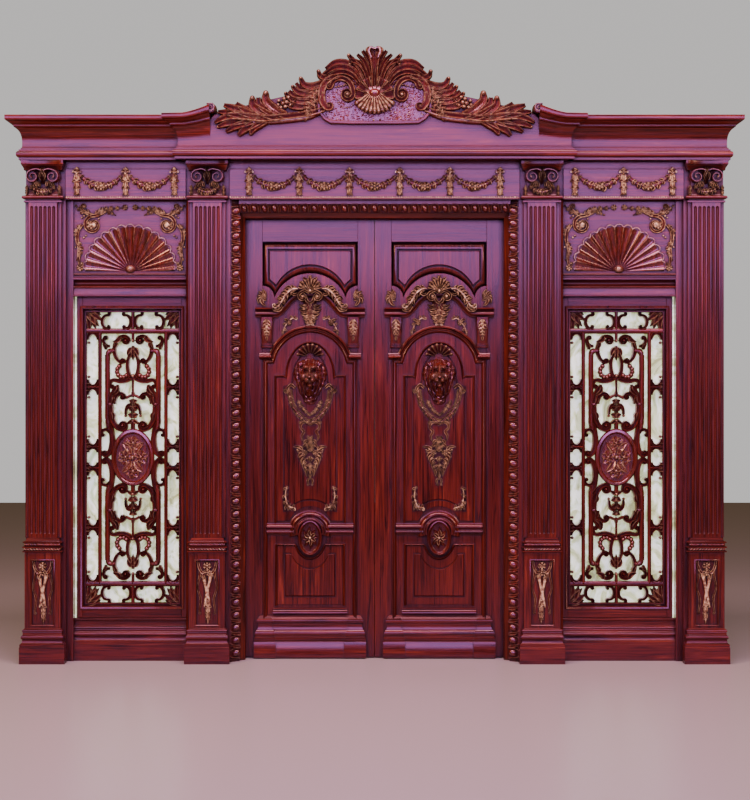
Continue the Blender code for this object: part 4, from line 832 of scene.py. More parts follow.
def cornice_run(low=0.0, high=1.0):
    """The cornice's section between two shares of its height: (growth, height)."""
    section = [(0.30, 0.0), (0.30, 0.050), (0.34, 0.055)]
    section += arc((0.345, 0.125), (0.095, 0.068), -90, 90, 8)
    section += [(0.30, 0.205), (0.30, 0.235), (0.20, 0.245), (0.20, 0.275), (0.135, 0.285)]
    section += eased([(0.13, 0.30), (0.125, 0.42), (0.16, 0.54), (0.27, 0.65), (0.47, 0.735)], 4)
    section += [(0.545, 0.745), (0.56, 0.755), (0.56, 0.785), (0.60, 0.80)]
    section += eased([(0.62, 0.805), (0.72, 0.83), (0.86, 0.868), (0.96, 0.880)], 3)
    section += [(0.985, 0.888), (1.0, 0.905), (1.0, 0.985), (0.985, 1.0)]
    kept = [(growth, share) for growth, share in section if low <= share <= high]
    return stretched(REACH, CORNICE_Z, CORNICE_TOP - CORNICE_Z, kept)


CORNICE = limits("cornice_left")
BASE_SIDE = CORNICE[1][1] - REACH           # plane that a side cornice grows from
BASE_MID = DEPTH - REACH        # plane that the middle cornice grows from
MID_HALF = -CORNICE[1][0]       # half the length of the middle cornice's base
OUT_X = -POST[0][0]             # outer side of a post

left = Piece()
section = cornice_run() + [(-0.05, CORNICE_TOP), (-0.05, CORNICE_Z)]
left.cornice([(-OUT_X, 0.0), (-OUT_X, BASE_SIDE), (-MID_HALF, BASE_SIDE)], section)
left.block((-OUT_X + 0.04, -MID_HALF), (0.0, BASE_SIDE - 0.04), (CORNICE_Z, CORNICE_TOP - 0.0005), FLAT)
left.pair("cornice_run", ["cornice"])

break_z = CORNICE_Z + 0.30 * (CORNICE_TOP - CORNICE_Z)
cove_z = CORNICE_Z + 0.56 * (CORNICE_TOP - CORNICE_Z)
FIELD = BASE_MID + 0.125 * REACH
HORN_X = -AXES["inner"] - 0.022
HORN_RISE = 0.046

middle = Piece()
lower = cornice_run(0.0, 0.43) + [(-0.06, cove_z), (-0.06, CORNICE_Z)]
# its ends stop a little short of the back, off the plane of the side cornices
middle.cornice([(-MID_HALF, APART), (-MID_HALF, BASE_MID), (MID_HALF, BASE_MID), (MID_HALF, APART)], lower)
core = MID_HALF - 0.03
middle.block((-core, core), (0.0, BASE_MID - 0.05), (CORNICE_Z, CORNICE_TOP - 0.004), FLAT)


def horn(flip):
    """One rising end of the broken cornice with its scroll."""
    side = 1 if flip else -1
    section = cornice_run(0.30) + [(-0.10, CORNICE_TOP), (-0.10, break_z)]
    high = CORNICE_TOP - break_z
    rings = [[(side * (MID_HALF + out), 0.02, up + APART) for out, up in section],
             [(side * (MID_HALF + out), BASE_MID + out, up + APART) for out, up in section]]
    for share in np.linspace(0, 1, 9)[1:]:
        x = side * (MID_HALF + (HORN_X - MID_HALF) * share)
        lift = HORN_RISE * share ** 1.5
        rings.append([(x, BASE_MID + out, up + APART + lift * max(0.0, (up - break_z) / high))
                      for out, up in section])
    middle.loft(rings, FLAT)
    cx = side * (HORN_X - 0.006)
    cz = CORNICE_TOP + HORN_RISE - 0.016
    middle.bed = BASE_MID - 0.02
    curl, _ = spiral((cx, cz + 0.026), np.array([-side, 0.0]), 0.024, side, 1.35, 0.25)
    rows = [(x, z, 0.017 - 0.007 * k / len(curl), 0.106) for k, (x, z) in enumerate(curl)]
    middle.strand([(cx + side * 0.02, cz + 0.024, 0.012, 0.104)] + rows, "round", 0.6, 1)
    middle.berry(cx, cz, 0.011, 0.108, 0.6)
    middle.slab(arc((cx, cz), 0.026, 0, 330, 11), (BASE_MID - 0.09, BASE_MID + 0.076), FLAT, 0.002)


for flip in (False, True):
    horn(flip)
rise = 0.165
shape = [(-HORN_X - 0.01, break_z), (-HORN_X - 0.01, CORNICE_TOP - 0.03)]
for k in range(41):
    t = k / 40 * 2 - 1
    shape.append((t * (HORN_X - 0.02), CORNICE_TOP + 0.004 + (rise - 0.004) * (1 - abs(t) ** 1.6)))
shape += [(HORN_X + 0.01, CORNICE_TOP - 0.03), (HORN_X + 0.01, break_z)]
middle.slab(shape, (BASE_MID - 0.16, FIELD), FLAT, 0.003)
middle.build("broken_pediment", "surround", ["pediment"])

# ---------------------------------------------------------------- friezes


def frieze_board(piece, node, swags, margin):
    """A frieze board with a beaded foot, pendants and swags."""
    (x0, back, low), (x1, _, high) = limits(node)
    face = back + 0.014
    shaded = high - 0.044
    piece.block((x0, x1), (back, face), (low, shaded), FLAT)
    piece.block((x0, x1), (back, back + 0.002), (shaded - 0.001, high), FLAT)
    piece.bed = face - 0.001
    piece.fullness = 1.6
    start = x0 + margin
    pitch = (x1 - x0 - 2 * margin) / swags
    top = shaded - 0.016
    fillet = raised(face, [(0, -0.002), (0, 0.003), (0.003, 0.0045), (0.006, 0.003), (0.006, -0.002)])
    piece.frame([(x0, low + 0.004), (x1, low + 0.004)], fillet, FLAT)
    piece.beads([(x, low + 0.0125) for x in np.arange(x0 + 0.006, x1 - 0.004, 0.0125)], 0.0052, 0.0055)
    for k in range(swags + 1):
        x = start + k * pitch
        piece.flower(x, top + 0.004, 0.019, 0.016, 5, 1.0, pi / 2)
        piece.dome(x, top + 0.019, 0.008, 0.009, 0.012)
        for side in (-1, 1):
            piece.scroll([(x, top - 0.006), (x + side * 0.016, top + 0.004)], [0.006, 0.007], 0.010,
                         end=(0.006, -side, 0.8), section="round", steps=4, eyes=False)
            piece.leaflet((x, top - 0.008), (x + side * 0.020, top - 0.024), 0.011, 0.009, -0.2 * side)
        piece.husks(x, top - 0.012, low + 0.026, 0.052, 0.018)
    for k in range(swags):
        ends = [(start + k * pitch + 0.010, top - 0.010), (start + (k + 1) * pitch - 0.010, top - 0.010)]
        piece.garland(ends, 0.070, 0.044, 0.020, 9, k + 3)
        piece.flower(start + (k + 0.5) * pitch, top - 0.078, 0.026, 0.024)


left = Piece()
frieze_board(left, "frieze_left", 2, 0.062)
left.pair("frieze_swags", ["frieze"], "gilded_carving")
middle = Piece()
frieze_board(middle, "frieze_centre", 5, 0.106)
middle.build("frieze_swags_centre", "surround", ["frieze_centre"], "gilded_carving")

# ---------------------------------------------------------------- pilasters


def fluted_shaft(axis, node):
    """A pilaster's shaft with six flutes that end in round heads."""
    piece = Piece()
    (x0, back, low), (x1, face, high) = limits(node)
    backing = face - 0.020
    half = 0.078
    pitch = 0.0237
    radius = 0.0085
    flutes = 6
    step = 0.002
    foot = low + 0.020
    head = high - 0.020
    levels = [(low, 0.0), (foot, 0.0)]
    for share in (0.02, 0.13, 0.30, 0.50, 0.75, 1.0):
        levels.append((foot + radius * share, (1 - (1 - share) ** 2) ** 0.5))
    levels += [(head + foot - z, share) for z, share in reversed(levels[1:])] + [(high, 0.0)]
    rings = []
    for z, opening in levels:
        wide = radius * max(opening, 0.02)
        ring = [(x0, back), (x0, backing - step), (x0 + step, backing), (axis - half, backing),
                (axis - half, face - step), (axis - half + step, face)]
        for k in range(flutes):
            cx = axis + (k - (flutes - 1) / 2) * pitch
            ring += [(cx - wide * cos(a), face - wide * sin(a) * 0.95) for a in np.linspace(0, pi, 9)]
        ring += [(axis + half - step, face), (axis + half, face - step), (axis + half, backing),
                 (x1 - step, backing), (x1, backing - step), (x1, back)]
        rings.append([(x, p, z) for x, p in ring])
    piece.loft(rings, UP)
    return piece


BASE_OUT = 0.026                # how far the base mouldings stand out
BLOCK = 0.091                   # height of the plinth block
BASE_RISE = 0.100               # height of the mouldings on it


def turned_base(piece, plan, low):
    """A plinth block with the base mouldings that run round it, and the level that they reach."""
    section = [(BASE_OUT, low), (BASE_OUT, low + BLOCK - 0.002), (BASE_OUT - 0.002, low + BLOCK)]
    shares = [(0.92, 0.02), (0.92, 0.14)] + eased([(0.84, 0.16), (0.52, 0.24), (0.42, 0.40)], 4)
    shares += arc((0.44, 0.52), (0.26, 0.10), -80, 80, 7) + [(0.36, 0.66), (0.36, 0.76)]
    shares += arc((0.30, 0.86), (0.16, 0.07), -80, 80, 6) + [(0.14, 0.96), (0.0, 1.0)]
    top = low + BLOCK + BASE_RISE
    section += stretched(BASE_OUT, low + BLOCK, BASE_RISE, shares)
    piece.cornice(plan, section + [(-0.03, top), (-0.03, low)])
    return top


def carved_pedestal(axis, node):
    """A pedestal: base, die with a trophy in its pocket, and cap with two ropes."""
    piece = Piece()
    (x0, back, low), (x1, front, high) = limits(node)
    half = (x1 - x0) / 2 - BASE_OUT
    face = front - BASE_OUT
    left, right = axis - half, axis + half
    plan = [(left, back), (left, face), (right, face), (right, back)]
    die = turned_base(piece, plan, low)
    cap = high - 0.078
    wide = 0.066
    foot, head = die + 0.011, cap - 0.037
    outline = [(left, die - 0.01), (right, die - 0.01), (right, cap + 0.01), (left, cap + 0.01)]
    hole = [(axis - wide, foot), (axis + wide, foot), (axis + wide, head), (axis - wide, head)]
    pocket = 0.014
    piece.pocketed(outline, [(hole, pocket)], (back, face))
    piece.block((left + 0.01, right - 0.01), (back, face - 0.02), (low + 0.002, die))
    lip = [(0.0, -0.001), (0.0, 0.0025), (0.003, 0.004), (0.0065, 0.002), (0.008, -0.001)]
    piece.frame(hole, raised(face, lip), UP, True)
    cove = [(0.0, -0.014), (0.0, -0.004), (0.002, -0.006), (0.007, -0.012), (0.008, -0.014)]
    piece.frame(hole, flipped(raised(face, cove)), UP, True)
    section = raised(cap, [(0.0, 0.0), (0.010, 0.003), (0.010, 0.009), (0.002, 0.011), (0.002, 0.024),
                           (0.011, 0.026), (0.011, 0.032), (0.0, 0.035), (0.0, 0.050), (0.009, 0.053),
                           (0.009, 0.058), (-0.004, 0.063)])
    piece.cornice(plan, section + [(-0.010, high), (-0.03, high), (-0.03, cap)])
    piece.bed = face + 0.002
    piece.rope([(left - 0.002, cap + 0.0175), (right + 0.002, cap + 0.0175)], 0.0062, 0.016, 0.8)
    piece.bed = face
    piece.rope([(left, cap + 0.0425), (right, cap + 0.0425)], 0.0078, 0.022, 0.25)
    trophy(piece, axis, foot, head, face - pocket - 0.0005)
    return piece


def trophy(piece, x, low, high, bed):
    """A ribbon, flower, torches and tassel hung in a pedestal's panel."""
    piece.bed = bed
    piece.fullness = 1.6
    tall = high - low

    def hung(across, share):
        return (x + across, high - tall * share)

    for side in (-1, 1):
        bow = [hung(side * off, share) for off, share in ((0.050, 0.02), (0.044, 0.12), (0.026, 0.20),
                                                          (0.006, 0.17))]
        piece.scroll(bow, [0.009, 0.011, 0.012, 0.008], 0.009, rub=0.9)
        ribbon = [hung(side * off, share) for off, share in ((0.048, 0.05), (0.040, 0.22), (0.052, 0.42),
                                                             (0.036, 0.60), (0.044, 0.80))]
        piece.scroll(ribbon, [0.005, 0.010, 0.006, 0.010, 0.006], 0.007, end=(0.006, -side, 0.7), rub=0.8)
        piece.leaflet(hung(0, 0.20), hung(side * 0.026, 0.30), 0.014, 0.010, 0.2 * side)
    piece.flower(x, high - tall * 0.10, 0.024, 0.015)
    piece.flower(x + 0.004, high - tall * 0.20, 0.018, 0.017, 5)
    for lean, top, foot in ((0.018, 0.26, 0.72), (-0.016, 0.30, 0.70)):
        centre = (top + foot) / 2
        piece.strand([(*hung(lean, top), 0.020, 0.012), (*hung(lean * 0.6, top + 0.10), 0.014, 0.013),
                      (*hung(0.0, centre), 0.018, 0.014), (*hung(-lean * 0.6, foot - 0.08), 0.013, 0.012),
                      (*hung(-lean, foot), 0.006, 0.009)], "round", 0.9)
        for way in (-1, 0, 1):
            flame = hung(lean * (1.0 + 0.45 * way), top - 0.055)
            piece.leaflet(hung(lean * 0.9, top + 0.02), flame, 0.010, 0.011)
        tie = [hung(lean * 0.2 + way * 0.010, centre + way * 0.02) for way in (-1, 1)]
        piece.rope(tie, 0.0035, 0.008)
    piece.husks(x + 0.004, high - tall * 0.62, high - tall * 0.90, 0.040, 0.014)
    piece.leaflet(hung(0.004, 0.84), hung(0.004, 0.97), 0.014, 0.010, 0.0, "ridge")


def carved_capital(axis, node):
    """A capital: necking, volutes with leaves between them, a swag and a hollow-sided abacus."""
    piece = Piece()
    (_, back, low), (_, _, high) = limits(node)
    tall = high - low
    face = SHAFT[1][1]
    half = 0.098
    plan = [(axis - half, back), (axis - half, face), (axis + half, face), (axis + half, back)]
    neck = raised(low, [(0.004, 0.0), (0.004, 0.008), (-0.004, 0.011), (-0.004, 0.016)])
    neck += arc((0.004, low + 0.026), (0.010, 0.009), -90, 90, 8)
    neck += raised(low, [(-0.010, 0.038), (-0.016, 0.05), (-0.018, 0.110)])
    neck += [(-0.010, high - 0.05), (-0.06, high - 0.05), (-0.06, low)]
    piece.cornice(plan, neck)
    piece.block((axis - half + 0.03, axis + half - 0.03), (back, face - 0.03), (low + 0.002, high - 0.03))
    reach = half + 0.0155
    corner = 0.86
    rings = []
    for wide, deep, drop in ((0.90, 0.0, 0.052), (0.90, 0.004, 0.044), (0.93, 0.012, 0.036),
                             (0.985, 0.024, 0.026), (0.985, 0.026, 0.023), (1.0, 0.029, 0.022),
                             (1.0, 0.030, 0.012), (1.0, 0.030, 0.002), (0.99, 0.028, 0.0)):
        out = reach * wide
        ring = [(axis - out, back), (axis - out, face + deep), (axis - out * corner, face + deep)]
        for t in np.linspace(-1, 1, 13):
            ring.append((axis + t * reach * wide * 0.80, face + deep - 0.013 * (1 - t * t) ** 0.7 - 0.002))
        ring += [(axis + out * corner, face + deep), (axis + out, face + deep), (axis + out, back)]
        rings.append([(x, p, high - drop) for x, p in ring])
    piece.loft(rings, FLAT)
    piece.bed = face - 0.016
    piece.fullness = 1.3
    z = low + tall * 0.60
    for side in (-1, 1):
        cx = axis + side * 0.060
        piece.scroll([(axis + side * 0.006, z + 0.034), (axis + side * 0.030, z + 0.042), (cx, z + 0.0365)],
                     [0.009, 0.011, 0.0115], 0.042, end=(0.0355, -side, 1.45), section="round", rub=0.55,
                     steps=5, eyes=False)
        piece.berry(cx, z + 0.001, 0.0080, 0.044, 0.7)
        piece.slab(arc((cx, z + 0.003), 0.030, 0, 345, 23), (face - 0.03, face + 0.006), UP, 0.002)
        for k in range(4):
            foot = (axis + side * (0.016 + 0.004 * k), low + tall * 0.50)
            tip = (axis + side * (0.014 + 0.017 * k), low + tall * (0.36 - 0.02 * k))
            piece.leaflet(foot, tip, 0.013, 0.022, 0.15 * side)
        piece.husks(axis + side * 0.088, low + tall * 0.40, low + tall * 0.16, 0.020, 0.026, 2)
        piece.leaflet((axis + side * 0.012, z - 0.018), (axis + side * 0.040, z + 0.050), 0.016, 0.030,
                      0.3 * side)
    ends = [(axis - 0.070, low + tall * 0.40), (axis + 0.070, low + tall * 0.40)]
    piece.garland(ends, 0.036, 0.036, 0.030, 8, 5)
    piece.bed = face - 0.010
    for across, up, wide, height in ((0.024, 0.046, 0.032, 0.030), (0.014, 0.050, 0.022, 0.038)):
        for side in (-1, 1):
            tip = (axis + side * across, z + up)
            piece.leaflet((axis + side * 0.004, z - 0.028), tip, wide * 0.55, height, 0.25 * side)
    for side in (-1, 1):
        for k in range(3):
            tip = (axis + side * (0.009 + 0.012 * k), z + 0.060 - 0.008 * k)
            piece.leaflet((axis + side * 0.003, z - 0.034), tip, 0.012, 0.036, 0.12 * side, rub=0.35)
    return piece


for side in ("outer", "inner"):
    axis = AXES[side]
    fluted_shaft(axis, f"shaft_{side}_left").pair(f"fluted_shaft_{side}", [f"shaft_{side}"])
    carved_pedestal(axis, f"pedestal_{side}_left").pair(f"carved_pedestal_{side}", [f"pedestal_{side}"])
    capital = carved_capital(axis, f"capital_{side}_left")
    capital.pair(f"carved_capital_{side}", [f"capital_{side}"], "gilded_carving")

# ---------------------------------------------------------------- jambs and head with their carved bands


def egg_tile(piece, place, turn, size):
    """One egg with the leaf dart beside it, on a band that runs along the turn's heading."""
    along = np.array([cos(turn), sin(turn)])
    across = np.array([-along[1], along[0]])
    place = np.array(place)
    lean = 0.35
    deep = 0.012
    piece.dome(*place, size * 0.30, size * 0.46, deep * 1.35, 0.45, 12, turn + lean)
    for side in (-1, 1):
        rows = []
        for t, off in ((-0.42, 0.46), (-0.05, 0.40), (0.30, 0.34), (0.50, 0.10)):
            rows.append((*(place + along * size * off * side + across * size * t), size * 0.13, deep * 0.95))
        piece.strand(rows, "round", 0.62, 3)
    dart = place + along * size * 0.62
    foot = dart - across * size * 0.46 - along * size * 0.10
    tip = dart + across * size * 0.44 + along * size * 0.06
    piece.leaflet(foot, tip, size * 0.34, deep * 1.2, 0.10, "ridge", 0.70, 3)


def band(piece, start, end, count, size, turn):
    """Eggs and darts in even steps from a start to an end."""
    for k in range(count):
        share = (k + 0.5) / count
        egg_tile(piece, between(start, end, share), turn, size)


STOP = 0.160                    # how far the stop stands proud
PROUD = 0.240                   # how far the jambs and the head stand proud
REBATE_X = 0.7245               # side of the rebate that a leaf closes into
HINGE_X = 0.731                 # side of the jamb behind the leaf
LEAF_STOP = LEAF[0][1] + 0.073  # plane that the closed leaves lie against
SEAT = 0.0003                   # what keeps the jambs' tops off the beam


def egg_bed(inward):
    """The sloping bed of an egg band; inward counts its breadth from its inner edge."""
    return lambda x, z: EGG_BACK + 0.002 + (PROUD - 0.010 - EGG_BACK) * np.clip(inward(x, z) / BAND, 0, 1)


left = Piece()
left.carving = BRONZED
outline = [(JAMB[0][0], 0), (JAMB[0][0], POST_FACE - 0.012), (JAMB[0][0] + 0.014, POST_FACE),
           (-JAMB_X, POST_FACE), (-JAMB_X, PROUD), (-EGG_X - BAND, PROUD), (-EGG_X - 0.040, PROUD - 0.008),
           (-EGG_X - 0.002, EGG_BACK), (-EGG_X, EGG_BACK), (-EGG_X + 0.001, STOP + 0.014),
           (-EGG_X + 0.003, STOP + 0.012), (-STOP_X - 0.002, STOP + 0.001), (-STOP_X, STOP - 0.002),
           (-STOP_X, LEAF_STOP), (-REBATE_X, LEAF_STOP), (-REBATE_X, LEAF[0][1]), (-HINGE_X, LEAF[0][1]),
           (-HINGE_X, 0)]
left.loft([[(x, p, z) for x, p in outline] for z in (0.0, BEAM_Z - SEAT)], UP)
left.bed = egg_bed(lambda x, z: -x - EGG_X)
head_z = HEAD[0][2]
egg_mid = EGG_X + BAND / 2
top_z = head_z + BORDER + BAND / 2
band(left, (-egg_mid, 0.012), (-egg_mid, top_z + 0.018), 36, 0.062, pi / 2)
left.pair("carved_jamb", ["jamb"])

middle = Piece()
middle.carving = BRONZED
half = EGG_X + 0.001
band_z = head_z + BORDER
rebate = LEAF_TOP + 0.005
outline = [(0.0, rebate), (LEAF_STOP, rebate), (LEAF_STOP, head_z), (STOP - 0.002, head_z),
           (STOP + 0.001, head_z + 0.002), (STOP + 0.012, band_z - 0.003), (STOP + 0.014, band_z - 0.001),
           (EGG_BACK, band_z), (EGG_BACK, band_z + 0.002), (PROUD - 0.008, band_z + 0.040),
           (PROUD, band_z + BAND), (PROUD, BEAM_Z - SEAT), (0.0, BEAM_Z - SEAT)]
middle.loft([[(x, p, z) for p, z in outline] for x in (-half, half)], FLAT)
middle.bed = egg_bed(lambda x, z: z - band_z)
band(middle, (-half, band_z + BAND / 2), (half, band_z + BAND / 2), 27, 0.050, 0.0)
middle.build("carved_head", "surround", ["door_head"])

# ---------------------------------------------------------------- shell panels, transoms and base rails


def shell_board():
    """The board over a sidelight with the ribbed shell in its recess."""
    piece = Piece()
    piece.carving = BRONZED
    (x0, back, low), (x1, _, high) = BAY
    face = 0.200
    x = (x0 + x1) / 2
    radius = 0.2445
    foot = low + 0.010
    outline = [(x0, low), (x1, low), (x1, high), (x0, high)]
    piece.pocketed(outline, [(arc((x, foot), radius, 180, 0, 36), 0.045)], (back, face), FLAT)
    start = radians(2)
    span = radians(176)
    count = 15
    shares = np.linspace(-1, 1, 9)
    half = span / count / 2
    for k in range(count):
        angle = start + span * (k + 0.5) / count
        rings = []
        worn = []
        for share in np.linspace(0.10, 1.0, 9):
            reach = radius * share
            floor = face - 0.043 + 0.040 * (1 - (1 - share) ** 2) ** 0.5 * share
            across = [(t, floor + 0.012 - 0.011 * (1 - t * t) * (0.35 + 0.65 * share)) for t in shares]
            across += [(1, floor - 0.010), (-1, floor - 0.010)]
            turns = [(angle + half * t * 1.01, p) for t, p in across]
            rings.append([(x + reach * cos(a), p, foot + reach * sin(a)) for a, p in turns])
            worn.append([(0.25 + 0.75 * share) * abs(t) ** 6 for t in shares] + [0, 0])
        piece.loft(rings, CUT, np.array(worn))
    piece.bed = face - 0.004
    for k in range(count):
        rows = []
        for share, grown in ((0.0, 0.985), (0.25, 1.035), (0.5, 1.050), (0.75, 1.035), (1.0, 0.985)):
            a = start + span * (k + share) / count
            rows.append((x + radius * grown * cos(a), foot + radius * grown * sin(a), 0.010, 0.013))
        piece.strand(rows, "round", 1.0, 3)
    piece.bed = face - 0.020
    piece.dome(x, foot + 0.012, 0.030, 0.026, 0.040, 0.9, 14)
    return piece


shell_board().pair("shell_board", ["shell_panel"], "gilded_carving")

left = Piece()
(x0, _, low), (x1, front, high) = limits("transom_left")
base = front - 0.012
rise = high - low
shares = [(0.006, 0.0), (0.006, 0.055), (0.0, 0.07), (-0.004, 0.34)]
shares += arc((-0.002, 0.40), (0.009, 0.035), -90, 90, 6)
shares += eased([(-0.012, 0.46), (-0.020, 0.56), (-0.014, 0.66), (0.008, 0.715)], 4)
shares += [(0.012, 0.73), (0.012, 0.80), (0.002, 0.83), (0.002, 0.90)]
shares += arc((0.004, 0.955), (0.008, 0.04), -90, 80, 6) + [(0.0, 1.0)]
section = stretched(1.0, low, rise, shares) + [(-0.15, high), (-0.15, low)]
left.cornice([(x0, base), (x1, base)], section)
left.pair("moulded_transom", ["transom"])

left = Piece()
(x0, back, low), (x1, front, high) = limits("base_rail_left")
face = front - BASE_OUT
plan = [(x0, face), (x1, face)]
top = turned_base(left, plan, low)
section = raised(high, [(0.0, -0.018), (0.006, -0.014), (0.008, -0.011), (0.008, -0.004), (0.004, 0.0),
                        (-0.03, 0.0)])
left.cornice(plan, [(0.0, top)] + section + [(-0.03, top)])
left.block((x0, x1), (back, face - 0.02), (low, high), FLAT)
left.pair("moulded_base_rail", ["base_rail"])

# ---------------------------------------------------------------- leaves: boards and mouldings

LEAF_BACK = LEAF[0][1]
LEAF_X = (LEAF[0][0], LEAF[1][0])
STILE = 0.262                   # half the width between the stiles
POCKET = FACE - 0.024
ROSE_Z = 0.663                  # middle of the rosette
INNER_Z = 1.551                 # middle of the arch over the lion
HOLLOW_Z = 0.716                # middle of the hollow over the rosette


def on_leaf(rows, side=1):
    """Places given from the leaf's middle line, on it or mirrored about that line."""
    return [(PANEL_X + side * x, z) for x, z in rows]


def centred(half):
    """A left half path mirrored about the leaf's middle line."""
    return on_leaf(mirrored(half))


def upper_outline(side, top, shoulder, point, radius, peak, ear):
    """The upper panel: straight top, ears at its foot and an arch between them."""
    centre = peak - radius
    spring = degrees(atan2(point[1] - centre, point[0]))
    half = [(-side, top), (-side, shoulder)]
    if ear:
        half += arc((-side, point[1]), (side + point[0], shoulder - point[1]), 90, 0, 8)[1:]
    else:
        half += [tuple(between((-side, shoulder), point, (k + 1) / 8)) for k in range(8)]
    return centred(half + arc((0.0, centre), radius, spring, 90, 16)[1:])


def leaf_boards():
    """Stiles, top rail, field and the fielded upper panel of a leaf."""
    piece = Piece()
    top = LEAF_TOP - 0.136
    low = LEAF[0][2]
    whole = (low, LEAF_TOP)
    inside = (PANEL_X - STILE, PANEL_X + STILE)
    joint = 0.0002
    edge = 0.0010
    piece.block((LEAF_X[0], inside[0] - joint), (LEAF_BACK, FACE), whole, UP, edge)
    piece.block((inside[1] + joint, LEAF_X[1]), (LEAF_BACK, FACE), whole, UP, edge)
    piece.block(inside, (LEAF_BACK, FACE), (top, LEAF_TOP), FLAT, edge)
    outer = upper_outline(STILE, top, 2.0485, (-0.197, 1.983), 0.212, 2.117, True)
    inner = upper_outline(0.225, 2.241, 2.084, (-0.187, 2.0485), 0.210, 2.163, False)
    field = [(inside[1], low), (inside[0], low)] + outer[1:-1]
    piece.slab(field, (LEAF_BACK, FACE), UP, 0.0014)
    # the pocket's floor, whose back lies a little inside so that it never meets the field's back
    piece.block(inside, (LEAF_BACK + APART, POCKET), (1.93, top + 0.01), UP)
    rings = []
    for share, proud in ((0.02, -0.003), (0.05, 0.0), (0.13, 0.0), (0.16, 0.0040), (0.30, 0.0120),
                         (0.48, 0.0165), (0.66, 0.0180), (0.76, 0.0180), (0.79, 0.0150), (0.82, 0.0020),
                         (0.99, 0.0020), (1.00, -0.003)):
        rings.append([(x, POCKET + proud, z) for x, z in between(outer, inner, share)])
    piece.loft(rings, UP, 0.0, True)
    piece.slab(inner, (POCKET - 0.002, POCKET + 0.0190), UP, 0.0040)
    return piece


# profiles in millimetres, from the outside of a frame inwards, and how far each is deepened
MOULDINGS = {
    "frame": ([(0, 0), (0, 9), (1, 10.5), (3.5, 11.5), (6, 10.5), (7, 8), (8, 7), (9, 8), (12.5, 8.8),
               (17, 7), (21, 3.6), (23, 1.6), (24, 0)], 1.8),
    "bead": ([(0, 0), (0, 5), (1.2, 7.4), (3.6, 8.6), (6, 7.4), (7.2, 5), (8.4, 4.4), (11, 2.8),
              (12.5, 0)], 1.8),
    "ogee": ([(0, 0), (0, 13), (5, 14), (7, 15), (8.5, 17), (10, 22), (14, 27), (19, 29.5), (24, 29),
              (29, 25.5), (32, 20), (33.5, 17), (35.5, 16), (38.5, 18), (42.5, 23.5), (45.5, 31),
              (46.5, 34), (51.5, 34.5), (53, 33), (53, 0)], 1.0),
    "rail": ([(0, 0), (0, 14), (1.5, 15.5), (6, 16.5), (7.5, 18.5), (7.5, 22), (11, 27), (17, 28.5),
              (21.5, 26.5), (24, 22), (24.8, 19), (28, 18), (34, 20.5), (39, 25), (40.5, 28.5), (46, 27),
              (53, 22), (57.5, 15), (59, 12), (62, 11.5), (65, 10), (66, 0)], 1.0),
    "ledge": ([(0, 0), (0, 10), (3, 12), (7, 17), (9, 21), (10, 25), (15, 25.5), (17, 24), (17.5, 20),
               (22, 18), (26, 13), (28, 12), (33, 11), (35, 9), (35, 0)], 1.25),
}


def moulding(kind, size=1.0):
    """A profile of the leaf's applied mouldings: (offset to the left of the path, proud)."""
    points, boldness = MOULDINGS[kind]
    sunk = 0.002
    return [(off / 1000 * size, FACE + proud * boldness / 1000 - (sunk if proud == 0 else 0.0))
            for off, proud in points]


def crown_path():
    """Line of the crown's moulding, from its left end to the leaf's middle."""
    rows = [(-0.300, 1.873), (-0.250, 1.873), (-0.200, 1.873), (-0.177, 1.8755), (-0.151, 1.891),
            (-0.1255, 1.919), (-0.100, 1.950), (-0.080, 1.967), (-0.060, 1.976), (0.0, 1.978)]
    return eased(rows, 5)


def main_arch():
    """Left half of the arch over the long panel."""
    return arc((0.0, 1.590), 0.222, degrees(atan2(0.052, -0.2158)), 90, 18)


def main_frame():
    """Outer frame of the long panel, clockwise from its left foot."""
    return [(-0.256, 0.208), (-0.256, 1.642)] + main_arch()


def inner_frame():
    """Bead inside it, from its left foot to the top of its arch."""
    arch = arc((0.0, INNER_Z), (0.137, 0.190), 180, 90, 16)
    return [(-0.197, 0.742), (-0.197, 1.557), (-0.146, 1.557)] + arch


def leaf_mouldings(piece):
    """Frames, ledges and raised field of the long panel."""
    piece.frame(centred(main_frame()), flipped(moulding("frame")), UP)
    ledges = centred([(-0.279, 1.6435), (-0.213, 1.6435)])
    for run in (ledges[:2], ledges[2:]):
        piece.frame(run, moulding("ledge"), FLAT)
    slim = [(off * 0.55, FACE + (proud - FACE) * 0.72) for off, proud in moulding("ledge")]
    piece.frame(centred(main_arch()), slim, UP)
    piece.frame(centred(inner_frame()), flipped(moulding("bead", 1.15)), UP)
    head = arc((0.0, INNER_Z), (0.124, 0.176), 180, 90, 16)
    outline = centred([(-0.184, 0.755), (-0.184, 1.543), (-0.133, 1.543)] + head)
    outline += on_leaf(arc((0.0, HOLLOW_Z), 0.120, 20, 160, 18))
    head = arc((0.0, 1.530), (0.094, 0.150), 180, 90, 14)
    core = centred([(-0.1415, 0.810), (-0.1415, 1.490), (-0.100, 1.500)] + head)
    core += on_leaf(arc((0.0, HOLLOW_Z), 0.157, 37, 143, 18))
    wider = [(x + (x - PANEL_X) * 0.055, z + 0.006 * np.sign(z - 1.1)) for x, z in core]
    piece.pocketed(outline, [(wider, 0.0070)], (FACE - 0.002, FACE + 0.0075))
    piece.slab(core, (FACE - 0.002, FACE + 0.0085), UP, 0.0035)


